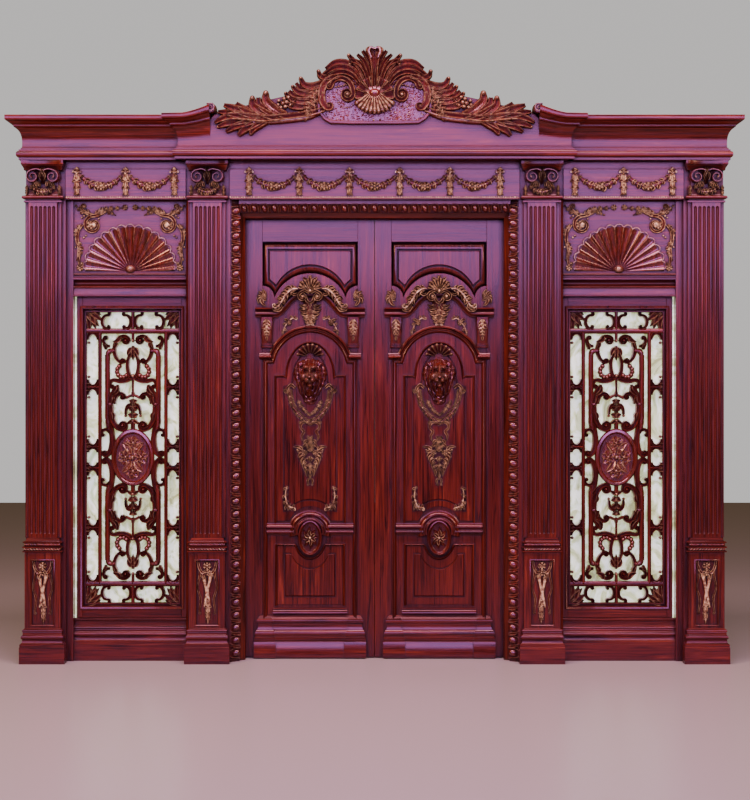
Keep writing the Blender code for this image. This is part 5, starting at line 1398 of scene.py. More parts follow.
def rosette_rail():
    """The rail that arches over the rosette, and the rosette's oval rim."""
    piece = Piece()
    ends = centred([(-0.238, 0.680), (-0.088, 0.680)])
    for run in (ends[:2], ends[2:]):
        piece.frame(run, moulding("rail"), FLAT)
    piece.frame(on_leaf(arc((0.0, 0.697), (0.056, 0.052), 196, -16, 34)), moulding("rail"), UP)
    section = raised(FACE, [(-0.010, 0.012), (-0.010, 0.030), (-0.007, 0.034), (-0.003, 0.035),
                            (0.001, 0.032), (0.003, 0.026), (0.006, 0.022), (0.009, 0.021), (0.011, 0.012)])
    piece.frame(on_leaf(oval((0.0, ROSE_Z), (0.056, 0.086))), section, UP, True)
    piece.slab(on_leaf(oval((0.0, ROSE_Z), (0.060, 0.090))), (FACE - 0.002, FACE + 0.016), UP, 0.002)
    return piece


def lower_panel(piece):
    """Frame and raised field under the rosette, and the moulding at the leaf's foot."""
    dip = arc((0.0, ROSE_Z), (0.078, 0.108), 198, 270, 12)
    path = centred([(-0.193, 0.290), (-0.193, 0.630), (-0.082, 0.630)] + dip[1:])
    piece.frame(path, flipped(moulding("bead", 1.2)), UP)
    low_dip = arc((0.0, 0.612), (0.104, 0.122), 200, 270, 12)
    core = centred([(-0.137, 0.341), (-0.137, 0.5735), (-0.106, 0.5735)] + low_dip)
    wide_dip = arc((0.0, ROSE_Z), (0.092, 0.124), 203, 270, 12)
    board = centred([(-0.178, 0.296), (-0.178, 0.616), (-0.094, 0.616)] + wide_dip)
    hole = [(x + (x - PANEL_X) * 0.05, z + (0.007 if z > 0.45 else -0.007)) for x, z in core]
    piece.pocketed(board, [(hole, 0.0065)], (FACE - 0.002, FACE + 0.0070))
    piece.slab(core, (FACE - 0.002, FACE + 0.0090), UP, 0.0050)
    section = raised(FACE, [(0.0, -0.002), (0.0, 0.014), (0.002, 0.016), (0.007, 0.0155), (0.010, 0.0145),
                            (0.017, 0.0115), (0.021, 0.0085), (0.0225, 0.0065), (0.0265, 0.007),
                            (0.0275, 0.011), (0.031, 0.0115), (0.033, 0.009), (0.034, -0.002)])
    piece.frame(centred([(-0.204, 0.244)]), section, FLAT)


def leaf_foot():
    """The stepped plinth of a leaf, whose ends break forward."""
    piece = Piece()
    (x0, back, low), (x1, front, high) = limits("leaf_plinth_left")
    rise = high - low
    step = 0.006
    base = FACE + step
    out = front - base - step
    reach = (x1 - x0) / 2 - out
    breaks = 0.2155
    section = [(out, low), (out, low + rise * 0.375), (out - 0.0015, low + rise * 0.385)]
    section += stretched(out, low, rise, [(0.84, 0.39), (0.84, 0.40), (0.90, 0.41), (0.93, 0.44),
                                          (0.90, 0.47), (0.72, 0.485), (0.70, 0.52), (0.80, 0.54),
                                          (0.83, 0.57), (0.74, 0.61), (0.50, 0.65), (0.36, 0.66),
                                          (0.22, 0.72), (0.18, 0.78), (0.25, 0.81), (0.44, 0.825),
                                          (0.46, 0.84), (0.46, 0.875), (0.42, 0.885), (0.20, 0.93),
                                          (0.0, 0.965)])
    section += [(-0.004, high), (-step, high), (-step, low)]
    plan = mirrored([(-reach, FACE - 0.001), (-reach, base + step), (-breaks, base + step), (-breaks, base)])
    piece.cornice(on_leaf(plan), section, FLAT)
    piece.block((PANEL_X - reach + 0.004, PANEL_X + reach - 0.004), (back, base - 0.003), (low, high), FLAT)
    return piece


leaf = leaf_boards()
leaf_mouldings(leaf)
lower_panel(leaf)
leaf.pair("leaf_boards", ["leaf"], "mahogany", "leaf_body")
# a slim strip behind most of the slit between the closed leaves
seal = Piece()
seal.block((-0.004, 0.0013), (LEAF_BACK + 0.003, LEAF_BACK + 0.011), (LEAF[0][2], LEAF_TOP), UP, 0.0003)
seal.build("meeting_seal", "leaf_body_left")
rosette_rail().pair("leaf_rail", [], "mahogany", "leaf_body")
leaf_foot().pair("leaf_foot", ["leaf_plinth"], "mahogany", "leaf_body")

# ---------------------------------------------------------------- leaves: carving


def spot(side, x, z):
    """A place given from the leaf's middle line, to its right or, with side -1, to its left."""
    return PANEL_X + side * x, z


def sprigs(piece, side, rows, height, bend, steps=4):
    """Leaflets on one side of the leaf: (x and z of the foot, x and z of the tip, width) each."""
    for foot_x, foot_z, tip_x, tip_z, width in rows:
        foot = spot(side, foot_x, foot_z)
        piece.leaflet(foot, spot(side, tip_x, tip_z), width, height, bend * side, steps=steps)


def console(piece, x):
    """The small stepped console under each end of the crown, with a frond on its face."""
    rings = []
    for z, half, proud in ((1.708, 0.0335, 0.024), (1.713, 0.0335, 0.024), (1.714, 0.0300, 0.018),
                           (1.722, 0.0300, 0.018), (1.723, 0.0325, 0.023), (1.728, 0.0325, 0.023),
                           (1.729, 0.0285, 0.016), (1.742, 0.0285, 0.017), (1.760, 0.0290, 0.024),
                           (1.790, 0.0305, 0.033), (1.820, 0.0320, 0.036), (1.845, 0.0330, 0.034),
                           (1.858, 0.0335, 0.034), (1.874, 0.0335, 0.034)):
        section = [(-half, -0.002), (-half, proud * 0.86), (-half * 0.86, proud)]
        rings.append([(x + off, FACE + up, z) for off, up in section]
                     + [(x - off, FACE + up, z) for off, up in reversed(section)])
    piece.loft(rings, UP)
    piece.bed = lambda a, b: FACE + 0.018 + 0.018 * np.clip((b - 1.745) / 0.07, 0, 1) - 0.002
    piece.frond([(x, 1.862), (x, 1.820), (x, 1.765)], 0.066, 0.011, 4, 0.9, taper=0.45)


def crown():
    """The crown over the long panel: moulding, consoles, shell and the acanthus on its slopes."""
    piece = Piece()
    piece.fullness = 1.25
    piece.frame(centred(crown_path()), moulding("ogee"), FLAT)
    for side in (-1, 1):
        console(piece, PANEL_X + side * 0.237)
    piece.bed = lambda a, b: FACE + 0.026 + 0.008 * np.clip((np.abs(a - PANEL_X) - 0.06) / 0.10, -1, 1)
    shell_z = 2.018
    piece.fan((PANEL_X, shell_z), 0.066, 9, 12, 168, 0.022, "gouge", 0.14, 0.25, 1.05)
    piece.dome(PANEL_X, shell_z, 0.010, 0.012, 0.028)
    for side in (-1, 1):
        for angle, reach, width in ((38, 0.074, 0.020), (62, 0.084, 0.018), (84, 0.090, 0.013)):
            a = radians(angle)
            tip = (PANEL_X + side * reach * cos(a) * 1.02, shell_z + 0.004 + reach * sin(a) * 0.93)
            foot = (PANEL_X + side * reach * 0.62 * cos(a), shell_z + reach * 0.66 * sin(a))
            piece.leaflet(foot, tip, width, 0.017, 0.25 * side)
        piece.scroll(on_leaf([(0.004, 2.004), (0.026, 2.018), (0.050, 2.009)], side), [0.008, 0.013, 0.015],
                     0.026, end=(0.0235, -side, 1.55))
        piece.leaflet(spot(side, 0.012, 2.012), spot(side, 0.062, 2.042), 0.015, 0.020, 0.22 * side)
        piece.leaflet(spot(side, 0.0, 1.950), spot(side, 0.020, 1.996), 0.016, 0.026, -0.2 * side)
        # the long acanthus that lies on the slope
        slope = [(0.066, 2.030), (0.098, 2.026), (0.128, 2.000), (0.150, 1.965), (0.170, 1.936),
                 (0.186, 1.926)]
        piece.frond(on_leaf(slope, side), 0.064, 0.024, 6, 1.0, end=(0.015, side, 0.9), taper=0.5)
        piece.scroll(on_leaf([(0.148, 1.934), (0.166, 1.912), (0.190, 1.911)], side), [0.012, 0.016, 0.012],
                     0.020, end=(0.012, side, 1.1))
        piece.scroll(on_leaf([(0.070, 2.002), (0.086, 1.996), (0.100, 2.006), (0.098, 2.020)], side),
                     [0.010, 0.014, 0.012, 0.008], 0.024, end=(0.008, side, 1.0))
        sprigs(piece, side, ((0.098, 2.030, 0.142, 2.022, 0.015), (0.128, 2.002, 0.160, 2.003, 0.015),
                             (0.145, 1.975, 0.182, 1.972, 0.015)), 0.018, 0.3)
    return piece


def crown_drop(piece):
    """The pendant of leaves under the crown, the sprigs beside it and the sprays in the corners."""
    piece.bed = FACE + 0.001
    piece.fullness = 1.4
    top = 1.968
    for z, half, tip in ((1.952, 0.062, 1.925), (1.930, 0.064, 1.895), (1.905, 0.052, 1.868),
                         (1.880, 0.040, 1.845), (1.858, 0.028, 1.830)):
        for side in (-1, 1):
            sprigs(piece, side, ((0.006, z, half, z + (tip - z) * 0.25, 0.017),), 0.020, -0.30)
            sprigs(piece, side, ((0.005, z - 0.004, half * 0.82, tip, 0.016),), 0.017, -0.20)
            piece.berry(PANEL_X + side * half * 0.52, z - 0.010, 0.006, 0.020)
    piece.husks(PANEL_X, top - 0.010, 1.842, 0.036, 0.026, 4)
    piece.strand([(PANEL_X, top + 0.01, 0.05, 0.022), (PANEL_X, 1.93, 0.05, 0.018),
                  (PANEL_X, 1.86, 0.03, 0.014), (PANEL_X, 1.83, 0.016, 0.010)], "round", 0.2)
    for side in (-1, 1):
        piece.scroll(on_leaf([(0.002, 1.830), (0.012, 1.836)], side), [0.007, 0.006], 0.016,
                     end=(0.006, -side, 0.9), section="round")
    for side in (-1, 1):
        stem = [(0.078, 1.862), (0.098, 1.868), (0.118, 1.850), (0.140, 1.820), (0.150, 1.790)]
        piece.scroll(on_leaf(stem, side), [0.004, 0.008, 0.008, 0.006, 0.004], 0.010, (0.008, -side, 0.9),
                     section="round")
        piece.flower(*spot(side, 0.1165, 1.846), 0.017, 0.020)
        sprigs(piece, side, ((0.090, 1.868, 0.084, 1.886, 0.010), (0.104, 1.866, 0.110, 1.884, 0.011),
                             (0.122, 1.850, 0.146, 1.862, 0.012), (0.136, 1.830, 0.152, 1.838, 0.012),
                             (0.140, 1.818, 0.126, 1.800, 0.011), (0.146, 1.804, 0.154, 1.788, 0.009),
                             (0.118, 1.846, 0.104, 1.830, 0.010), (0.147, 1.797, 0.143, 1.772, 0.008)),
               0.013, 0.2)
        x, z = spot(side, 0.262, 1.985)
        for angle, reach, wide in ((90, 0.046, 0.013), (62, 0.036, 0.012), (128, 0.040, 0.013),
                                   (160, 0.032, 0.012), (205, 0.036, 0.014), (240, 0.044, 0.014),
                                   (292, 0.052, 0.015), (330, 0.030, 0.012), (20, 0.026, 0.011)):
            a = radians(angle)
            foot = (x - side * cos(a) * 0.004, z + sin(a) * 0.004)
            piece.leaflet(foot, (x - side * cos(a) * reach, z + sin(a) * reach), wide, 0.013, 0.25 * side)
        piece.flower(x, z, 0.013, 0.017, 5)


def festoon(piece):
    """The crossed garlands below the lion, the ribbons and bouquet, and the corner sprigs."""
    piece.bed = FACE + 0.0075
    piece.fullness = 1.5
    rng = random.Random(11)
    for side in (-1, 1):
        piece.scroll(on_leaf([(0.082, 1.486), (0.104, 1.502), (0.124, 1.486)], side), [0.010, 0.013, 0.010],
                     0.016, end=(0.009, -side, 1.0))
        piece.scroll(on_leaf([(0.114, 1.476), (0.132, 1.462), (0.142, 1.468)], side), [0.009, 0.009, 0.006],
                     0.013, end=(0.006, side, 0.9))
        swag = [(0.112, 1.478), (0.106, 1.428), (0.088, 1.378), (0.052, 1.330), (0.004, 1.298),
                (-0.022, 1.284)]
        path = smooth(on_leaf(swag, side), 10)
        turn = headings(path)
        rows = np.column_stack([path, np.linspace(0.010, 0.007, len(path)),
                                np.linspace(0.010, 0.009, len(path))])
        piece.strand(rows, "round", 0.35, 1)
        for k in range(2, len(path) - 8, 3):
            normal = np.array([-turn[k][1], turn[k][0]])
            for way in (-1, 1):
                lean = 0.010 + 0.004 * rng.random()
                tip = path[k] + normal * way * lean * 1.2 + turn[k] * 0.008
                piece.leaflet(path[k] - turn[k] * 0.004, tip, 0.0085, 0.014, 0.2 * way, steps=3)
            if k % 2 == 0:
                piece.berry(*(path[k] + normal * side * 0.004), 0.0055, 0.016, 1.0, 8)
        inner = on_leaf([(0.066, 1.420), (0.048, 1.385), (0.024, 1.355), (0.004, 1.338)], side)
        piece.frond(inner, 0.034, 0.014, 5, 0.8, taper=0.5)
        ribbon = [(0.016, 1.300), (0.044, 1.292), (0.052, 1.268), (0.034, 1.246), (0.046, 1.222),
                  (0.040, 1.196)]
        piece.scroll(on_leaf(ribbon, side), [0.007, 0.013, 0.008, 0.012, 0.009, 0.004], 0.011, rub=0.9)
        piece.scroll(on_leaf([(0.040, 1.292), (0.052, 1.300)], side), [0.008, 0.007], 0.010,
                     end=(0.006, -side, 0.8), rub=0.9)
    # bouquet
    for k in (-1, 0, 1):
        piece.husks(PANEL_X + k * 0.008, 1.216 - 0.006 * abs(k), 1.150, 0.020, 0.018, 2, k * 0.016)
    for side in (-1, 1):
        sprigs(piece, side, ((0.010, 1.206, 0.018, 1.222, 0.010), (0.014, 1.196, 0.034, 1.180, 0.012),
                             (0.018, 1.176, 0.038, 1.156, 0.012), (0.040, 1.138, 0.092, 1.162, 0.013),
                             (0.034, 1.132, 0.072, 1.130, 0.015), (0.046, 1.140, 0.066, 1.166, 0.012),
                             (0.034, 1.124, 0.066, 1.102, 0.015), (0.030, 1.112, 0.056, 1.082, 0.014),
                             (0.024, 1.096, 0.046, 1.062, 0.013), (0.020, 1.080, 0.034, 1.040, 0.012),
                             (0.012, 1.062, 0.026, 1.020, 0.011), (0.006, 1.042, 0.016, 0.998, 0.010)),
               0.015, 0.22)
        piece.flower(*spot(side, 0.030, 1.130), 0.017, 0.020)
        for x, z in ((0.050, 1.112), (0.044, 1.094), (0.016, 1.098), (0.034, 1.070), (0.026, 1.050),
                     (0.070, 1.146)):
            piece.berry(*spot(side, x, z), 0.0055, 0.018, 1.0, 8)
    piece.flower(PANEL_X, 1.150, 0.018, 0.022)
    piece.flower(PANEL_X, 1.096, 0.016, 0.020, 5)
    piece.husks(PANEL_X, 1.074, 0.992, 0.024, 0.016)
    for side in (-1, 1):
        piece.scroll(on_leaf([(0.0, 0.992), (0.014, 0.978), (0.008, 0.958)], side), [0.006, 0.009, 0.005],
                     0.012, end=(0.005, side, 0.8))
        # corner sprigs
        stem = [(0.128, 0.940), (0.136, 0.900), (0.130, 0.862), (0.118, 0.836), (0.086, 0.826)]
        piece.scroll(on_leaf(stem, side), [0.003, 0.006, 0.008, 0.008, 0.006], 0.009, end=(0.009, side, 0.9),
                     section="round")
        sprigs(piece, side, [(*row, 0.010) for row in (
            (0.130, 0.934, 0.146, 0.922), (0.134, 0.912, 0.120, 0.900), (0.135, 0.894, 0.148, 0.876),
            (0.131, 0.870, 0.118, 0.862), (0.127, 0.852, 0.142, 0.838), (0.122, 0.842, 0.108, 0.852),
            (0.112, 0.834, 0.116, 0.812), (0.098, 0.830, 0.092, 0.848), (0.120, 0.838, 0.138, 0.812),
            (0.104, 0.832, 0.096, 0.814), (0.138, 0.850, 0.150, 0.858), (0.126, 0.946, 0.118, 0.932))],
               0.012, 0.25, 3)
        piece.flower(*spot(side, 0.122, 0.838), 0.011, 0.015, 5)


def rosette(piece):
    """Two rings of petals round a bud."""
    piece.bed = FACE + 0.016
    tall = 1.30
    for petals, offset, reach, width, height, rub in ((8, 0.0, 0.048, 0.024, 0.011, 0.45),
                                                      (6, 0.5, 0.034, 0.022, 0.016, 0.9)):
        for k in range(petals):
            a = 2 * pi * (k + offset) / petals
            tip = (PANEL_X + cos(a) * reach, ROSE_Z + sin(a) * reach * tall)
            foot = (PANEL_X + cos(a) * 0.008, ROSE_Z + sin(a) * 0.008)
            piece.leaflet(foot, tip, width, height, 0.12, rub=rub)
    piece.berry(PANEL_X, ROSE_Z, 0.010, 0.020, 0.9, 12)


crown().pair("leaf_crown", ["leaf_crown"], "gilded_carving", "leaf_body")
carving = Piece()
crown_drop(carving)
festoon(carving)
carving.pair("leaf_ornament", ["leaf_carving"], "gilded_carving", "leaf_body")
rose = Piece()
rosette(rose)
rose.pair("leaf_rosette", ["leaf_rosette"], "gilded_carving", "leaf_body")

# ---------------------------------------------------------------- crest


def drawn(places):
    """Rows of the crest's left half, given in millimetres from its middle over the cornice's top."""
    return [(-x / 1000, CORNICE_TOP + z / 1000, *(size / 1000 for size in sizes)) for x, z, *sizes in places]


CREST_BACK = limits("crest")[0][1]
CREST_BOARD = CREST_BACK + 0.012


def cartouche():
    """The stippled board in the middle of the crest, with its plain raised border."""
    piece = Piece()
    piece.carving = BRONZED
    half = drawn([(0, -50), (228, -50), (262, -30), (288, 8), (300, 78), (286, 128), (262, 163), (212, 200),
                  (150, 218), (0, 224)])
    piece.slab(mirrored(half)[1:], (CREST_BACK, CREST_BOARD), CUT, 0.002)
    x = np.linspace(-0.262, 0.262, 100)
    rng = np.random.default_rng(5)
    rings = []
    for z in np.linspace(-0.036, 0.185, 44):
        wide = x * (1.0 if z > 0.0 else 1.0 + z * 2.4) * (1.0 if z < 0.10 else 1.0 - (z - 0.10) * 2.2)
        p = CREST_BOARD + 0.0005 + 0.0042 * rng.random(len(x))
        ring = [*zip(wide, p), (wide[-1], CREST_BOARD - 0.002), (wide[0], CREST_BOARD - 0.002)]
        rings.append([(a, b, CORNICE_TOP + z) for a, b in ring])
    worn = np.array([[(p - CREST_BOARD) * 90 for _, p, _ in ring] for ring in rings])
    piece.loft(rings, CUT, np.clip(worn, 0, 0.45))
    rim = mirrored(drawn([(300, 70), (296, 18), (268, -18), (236, -38), (120, -42), (0, -42)]))
    section = raised(CREST_BOARD, [(-0.009, 0.007), (-0.005, 0.011), (0.005, 0.011), (0.009, 0.004),
                                   (0.010, -0.002)])
    piece.frame(rim, [(-0.009, CREST_BACK)] + section, FLAT)
    return piece


def crest_shell(piece):
    """The shell of rimmed cups over a pleated calyx, and the tulip above it."""
    piece.bed = CREST_BOARD - 0.001
    piece.fullness = 1.4
    for radius, height in ((0.064, 0.030), (0.040, 0.040)):
        piece.dome(0.0, CORNICE_TOP + 0.112, radius, radius * 0.8, height, 0.1, 20)
    cups_z = CORNICE_TOP + 0.098
    piece.fan((0.0, cups_z), 0.104, 7, -8, 188, 0.042, "trough", 0.28, 0.10)
    piece.fan((0.0, CORNICE_TOP + 0.135), 0.134, 11, -146, -34, 0.046, "round", 0.22, 0.12)
    for k in range(8):
        angle = radians(-8 + 196 * k / 7)
        piece.berry(0.098 * cos(angle), cups_z + 0.098 * sin(angle), 0.0055, 0.046)
    tulip = ((0.150, 0.020, 0.040), (0.215, 0.024, 0.040), (0.280, 0.034, 0.040), (0.318, 0.052, 0.042),
             (0.344, 0.070, 0.042), (0.3595, 0.050, 0.036))
    piece.strand([(0.0, CORNICE_TOP + z, width, height) for z, width, height in tulip], "trough")
    for side in (-1, 1):
        petal = ((0.018, 0.300, 0.012, 0.048), (0.030, 0.335, 0.015, 0.050), (0.020, 0.354, 0.016, 0.050),
                 (0.0, 0.346, 0.010, 0.048))
        piece.strand([(side * x, CORNICE_TOP + z, width, height) for x, z, width, height in petal])


CREST_RIBS = (
    # petals that open like a tulip: places, widths, height, knob
    (((4, 150), (12, 225), (30, 292), (64, 341)), (12, 16, 20, 12), 36, 0),
    (((16, 150), (30, 225), (54, 284), (92, 322)), (12, 15, 18, 10), 32, 0),
    (((28, 152), (48, 222), (78, 270), (120, 286), (134, 268)), (12, 18, 22, 20, 12), 34, 8),
    (((44, 156), (72, 236), (108, 282), (138, 318)), (16, 22, 22, 14), 28, 11),
    # ribs that sweep out over the scrolls
    (((52, 162), (96, 244), (150, 276), (210, 278), (262, 246)), (16, 26, 28, 24, 12), 26, 0),
    (((60, 158), (104, 226), (160, 252), (218, 248), (268, 214)), (16, 26, 28, 24, 12), 32, 0),
    (((70, 154), (112, 206), (162, 228), (212, 222), (252, 196)), (14, 22, 24, 20, 10), 30, 0),
    (((80, 148), (118, 186), (156, 206), (196, 204)), (12, 18, 18, 10), 28, 6),
    (((228, 204), (262, 196), (290, 206), (300, 232)), (26, 26, 22, 14), 30, 12),
    (((196, 250), (236, 236), (272, 206), (286, 172)), (18, 24, 24, 16), 22, 0),
    # lobes beside the cartouche
    (((272, 168), (330, 150), (376, 160), (396, 196)), (32, 34, 26, 16), 26, 10),
    (((276, 150), (338, 132), (392, 138), (420, 170)), (22, 24, 20, 12), 20, 0),
    (((280, 130), (350, 114), (408, 120), (440, 152)), (28, 34, 26, 14), 24, 9),
    (((284, 108), (358, 92), (420, 98), (458, 128)), (22, 26, 22, 12), 20, 0),
    (((290, 86), (366, 72), (434, 80), (478, 116)), (28, 36, 28, 14), 24, 8),
    (((300, 60), (376, 46), (440, 46), (490, 70)), (26, 32, 26, 14), 20, 0),
    # lobes over the arm
    (((478, -6), (536, 28), (580, 74), (582, 116)), (34, 40, 34, 22), 26, 16),
    (((500, -12), (566, 14), (616, 54), (622, 92)), (26, 30, 26, 16), 22, 0),
    (((540, -16), (604, 14), (650, 48), (654, 90)), (34, 40, 32, 20), 28, 14),
    (((580, -18), (650, 6), (706, 34), (740, 62)), (28, 34, 28, 14), 22, 0),
    (((610, -20), (690, 10), (756, 34), (806, 52)), (32, 40, 32, 14), 26, 0),
    (((630, -20), (712, -4), (780, 10), (838, 16)), (28, 36, 30, 12), 24, 0),
    # leaves under it
    (((560, -20), (612, -48), (646, -74), (664, -104)), (28, 34, 28, 14), 26, 8),
    (((590, -22), (650, -52), (698, -80), (728, -112)), (30, 38, 30, 14), 24, 0),
    (((612, -22), (690, -46), (750, -66), (794, -92)), (28, 34, 28, 12), 26, 0),
    (((630, -18), (716, -32), (788, -46), (840, -66)), (28, 36, 28, 12), 22, 7),
)


def crest_wing():
    """The left half of the crest's carving: plumes, scrolls and the acanthus arm."""
    piece = Piece()
    piece.carving = BRONZED
    piece.bed = CREST_BACK + 0.001
    piece.fullness = 1.55
    for places, widths, height, knob in CREST_RIBS:
        rows = drawn([(*place, width, height) for place, width in zip(places, widths)])
        piece.strand(rows, "gouge", 0.78, 6)
        if knob:
            piece.berry(*rows[-1][:2], knob / 1000, height / 1000 + 0.004)
    stem = drawn([(268, 30, 22, 30), (330, 8, 26, 30), (400, -2, 26, 30), (480, -12, 28, 32),
                  (580, -22, 30, 34), (680, -12, 34, 34), (764, -8, 32, 32), (820, -24, 24, 28),
                  (856, -44, 10, 20)])
    piece.strand(stem, "gouge", 1.0, 6)
    lower = drawn([(280, 16, 16, 22), (360, -14, 20, 24), (460, -28, 22, 26), (560, -36, 22, 26),
                   (650, -40, 12, 22)])
    piece.strand(lower, "round", 0.8, 6)
    leaf = drawn([(286, 150), (318, 98), (346, 42), (366, -6)])
    piece.frond(leaf, 0.105, 0.030, 6, 0.9, taper=0.5)
    piece.beads(drawn([(300 + 9.2 * k, 118 - 16.5 * k) for k in range(8)]), 0.0045, 0.034)
    for x, z, size in ((462, 92, 12), (484, 84, 13), (470, 66, 13), (492, 60, 14), (512, 74, 11),
                       (478, 42, 12), (502, 38, 12), (450, 50, 10), (516, 52, 10)):
        piece.berry(*drawn([(x, z)])[0], size / 1000, 0.030)
    piece.flower(*drawn([(436, 68)])[0], 0.020, 0.026, 5)
    # scrolls that frame the cartouche
    piece.bed = CREST_BOARD - 0.001
    outer = drawn([(190, 204), (236, 192), (268, 160), (284, 112), (278, 66), (258, 36)])
    piece.scroll(outer, [0.020, 0.026, 0.030, 0.030, 0.028, 0.026], 0.026, end=(0.018, 1, 0.9))
    inner = drawn([(232, 148), (218, 178), (184, 192), (148, 182), (122, 150), (114, 112)])
    piece.scroll(inner, [0.018, 0.020, 0.022, 0.022, 0.022], 0.030, (0.014, -1, 0.8), (0.032, -1, 1.7))
    piece.beads(arc((-0.150, CORNICE_TOP + 0.082), 0.046, 186, 318, 9), 0.0042, 0.012)
    piece.beads(drawn([(150 + 14 * k, 158 - 3 * k) for k in range(5)]), 0.006, 0.020)
    return piece


middle = cartouche()
crest_shell(middle)
middle.build("crest_cartouche", "surround", ["crest"], "gilded_carving")
crest_wing().pair("crest_wing", (), "gilded_carving")

# ---------------------------------------------------------------- carved grilles

GRILLE = limits("grille_left")


def bar(piece, start, end, width, kind=UP):
    """A straight bar of the grille with a rounded face."""
    half = width * 1.25 / 2
    section = [(-half, 0.0), (-half, 0.017), (-half * 0.72, 0.0215), (-half * 0.28, 0.024),
               (half * 0.28, 0.024), (half * 0.72, 0.0215), (half, 0.017), (half, 0.0)]
    piece.frame([start, end], raised(piece.bed, section), kind, False, [0, 0.2, 0.7, 0.9, 0.9, 0.7, 0.2, 0])


# the fretwork's axes and levels, in millimetres from its middle
BAR_X = 181
UPRIGHT_X = 139
RAIL_Z = 692
TIES = (385, 58)
STRIP_X = 219


def quarter(piece, middle, sx, sz):
    """One quarter of the fretwork, drawn in millimetres for the upper left one."""
    piece.fullness = 1.4

    def put(rows):
        return [(middle[0] + sx * x / 1000, middle[1] + sz * z / 1000) for x, z in rows]

    def vine(rows, width, start=None, end=None, section="gouge", height=0.026):
        tips = [tip and (tip[0] / 1000, tip[1] * sx * sz, tip[2]) for tip in (start, end)]
        widths = [width * share / 1000 for share in (0.75, 1.0, 1.08, 1.0, 0.8)]
        piece.scroll(put(rows), widths, height, *tips, section, 0.50, 4)

    def bud(x, z, size):
        piece.berry(*put([(x, z)])[0], size / 1000, 0.027, 0.6)

    def leaflet(foot, tip, width, height=0.028, bend=0.0):
        piece.leaflet(*put([foot, tip]), width / 1000, height, bend * sx * sz, rub=0.9)

    bar(piece, *put([(-BAR_X, 0), (-BAR_X, RAIL_Z)]), 0.016)
    bar(piece, *put([(-262, RAIL_Z), (0, RAIL_Z)]), 0.024, FLAT)
    bar(piece, *put([(-UPRIGHT_X, 212), (-UPRIGHT_X, 562)]), 0.022)
    # openings of the side strip end in arches that stand back to back on their ties
    for level in TIES:
        bar(piece, *put([(-246, level), (-BAR_X, level)]), 0.010, FLAT)
        for way in (-1, 1):
            # below the low tie there is only room for a narrow arch without a bud
            narrow = level == TIES[1] and way == -1
            radii = (26, 26) if narrow else (28, 38)
            end = 360 if way > 0 else 0
            vine(arc((-STRIP_X, level + way * (radii[1] + 5)), radii, 180, end, 9), 13 if narrow else 16)
            if not narrow:
                bud(-241, level + way * 56, 9)
            leaflet((-264, level + way * 4), (-226, level + way * 12), 18, 0.027, 0.1 * way)
    vine(arc((-STRIP_X, RAIL_Z - 48), (28, 38), 180, 0, 9), 16)
    bud(-241, RAIL_Z - 64, 9)
    # opening of the top strip, with a curled strand at each end
    vine(arc((-140, 742), (28, 36), 75, 285, 9), 15, (10, 1, 0.9), (9, 1, 0.9))
    vine(arc((-40, 742), (28, 36), 105, -105, 9), 15, (9, -1, 0.9), (9, -1, 0.9))
    # acanthus that fills the corner
    for tip, width in (((-172, 748), 30), ((-205, 704), 30), ((-176, 782), 24), ((-242, 690), 26)):
        leaflet((-258, 796), tip, width, 0.027, 0.10)
    leaflet((-262, 800), (-186, 718), 30, 0.031)
    # elbow of the upright, and the scroll that stands on it
    vine(arc((-117, 558), (22, 26), 180, 90, 6) + [(-98, 584)], 22, section="round")
    vine(arc((-132, 642), (28, 32), -75, -205, 9), 15, None, (11, -1, 1.0))
    leaflet((-150, 590), (-168, 622), 18, 0.028, -0.2)
    # paired eyes, and the arms that hang from them
    vine(arc((-48, 590), (54, 74), 78, 252, 13), 18, (23, -1, 1.4), (13, 1, 1.2))
    leaflet((-70, 668), (-112, 634), 24, 0.030, 0.25)
    leaflet((-96, 636), (-112, 590), 18, 0.028, 0.2)
    # crossed ribbons that end in ears
    lens = arc((0, 503), (30, 70), 95, 262, 9)
    sweep = arc((62, 480), (70, 64), 220, 290, 6)
    ear = arc((104, 398), (22, 26), 110, -20, 7)
    vine(lens + sweep + ear, 18, None, (11, -1, 0.9), height=0.023)
    # a chain of berries from the arm to the ribbon
    for x, z in arc((-58, 472), (30, 33), 125, 315, 6):
        bud(x, z, 15)
    # large scroll over the oval, with leaves along its back
    vine(arc((-58, 275), (64, 124), 110, 262, 13), 24, None, (25, 1, 1.35), height=0.027)
    leaflet((-84, 398), (-124, 338), 18, 0.029, 0.25)
    leaflet((-112, 340), (-130, 272), 17, 0.029, 0.2)
    leaflet((-118, 250), (-110, 196), 16, 0.029, 0.2)
    bar(piece, *put([(-UPRIGHT_X, 290), (-116, 290)]), 0.016, FLAT)
    # its inner volute, tied to the one across the middle
    vine(arc((-66, 300), (34, 50), 190, 60, 8), 17, None, (15, -1, 1.15))
    vine(arc((0, 298), (46, 42), 145, 90, 5), 12, section="round")
    # foot of the upright, and the scroll that holds it to the bar
    vine(arc((-150, 100), (36, 90), 82, -84, 11), 24, None, (14, -1, 1.1))
    vine(arc((-150, 128), (22, 24), 10, 190, 7), 15, None, (9, 1, 0.9))
    vine(arc((-60, 215), (78, 150), 172, 205, 5), 22, section="round")
    # half of the fleur between the scrolls
    vine(arc((-21, 240), (19, 46), 0, 185, 9), 15)
    bud(-41, 228, 9)
    if sx > 0:
        bar(piece, *put([(0, 330), (0, 438)]), 0.010)
        bar(piece, *put([(0, 636), (0, RAIL_Z)]), 0.012)
        bar(piece, *put([(0, 704), (0, 800)]), 0.014)
        bar(piece, *put([(0, 150), (0, 210)]), 0.018)


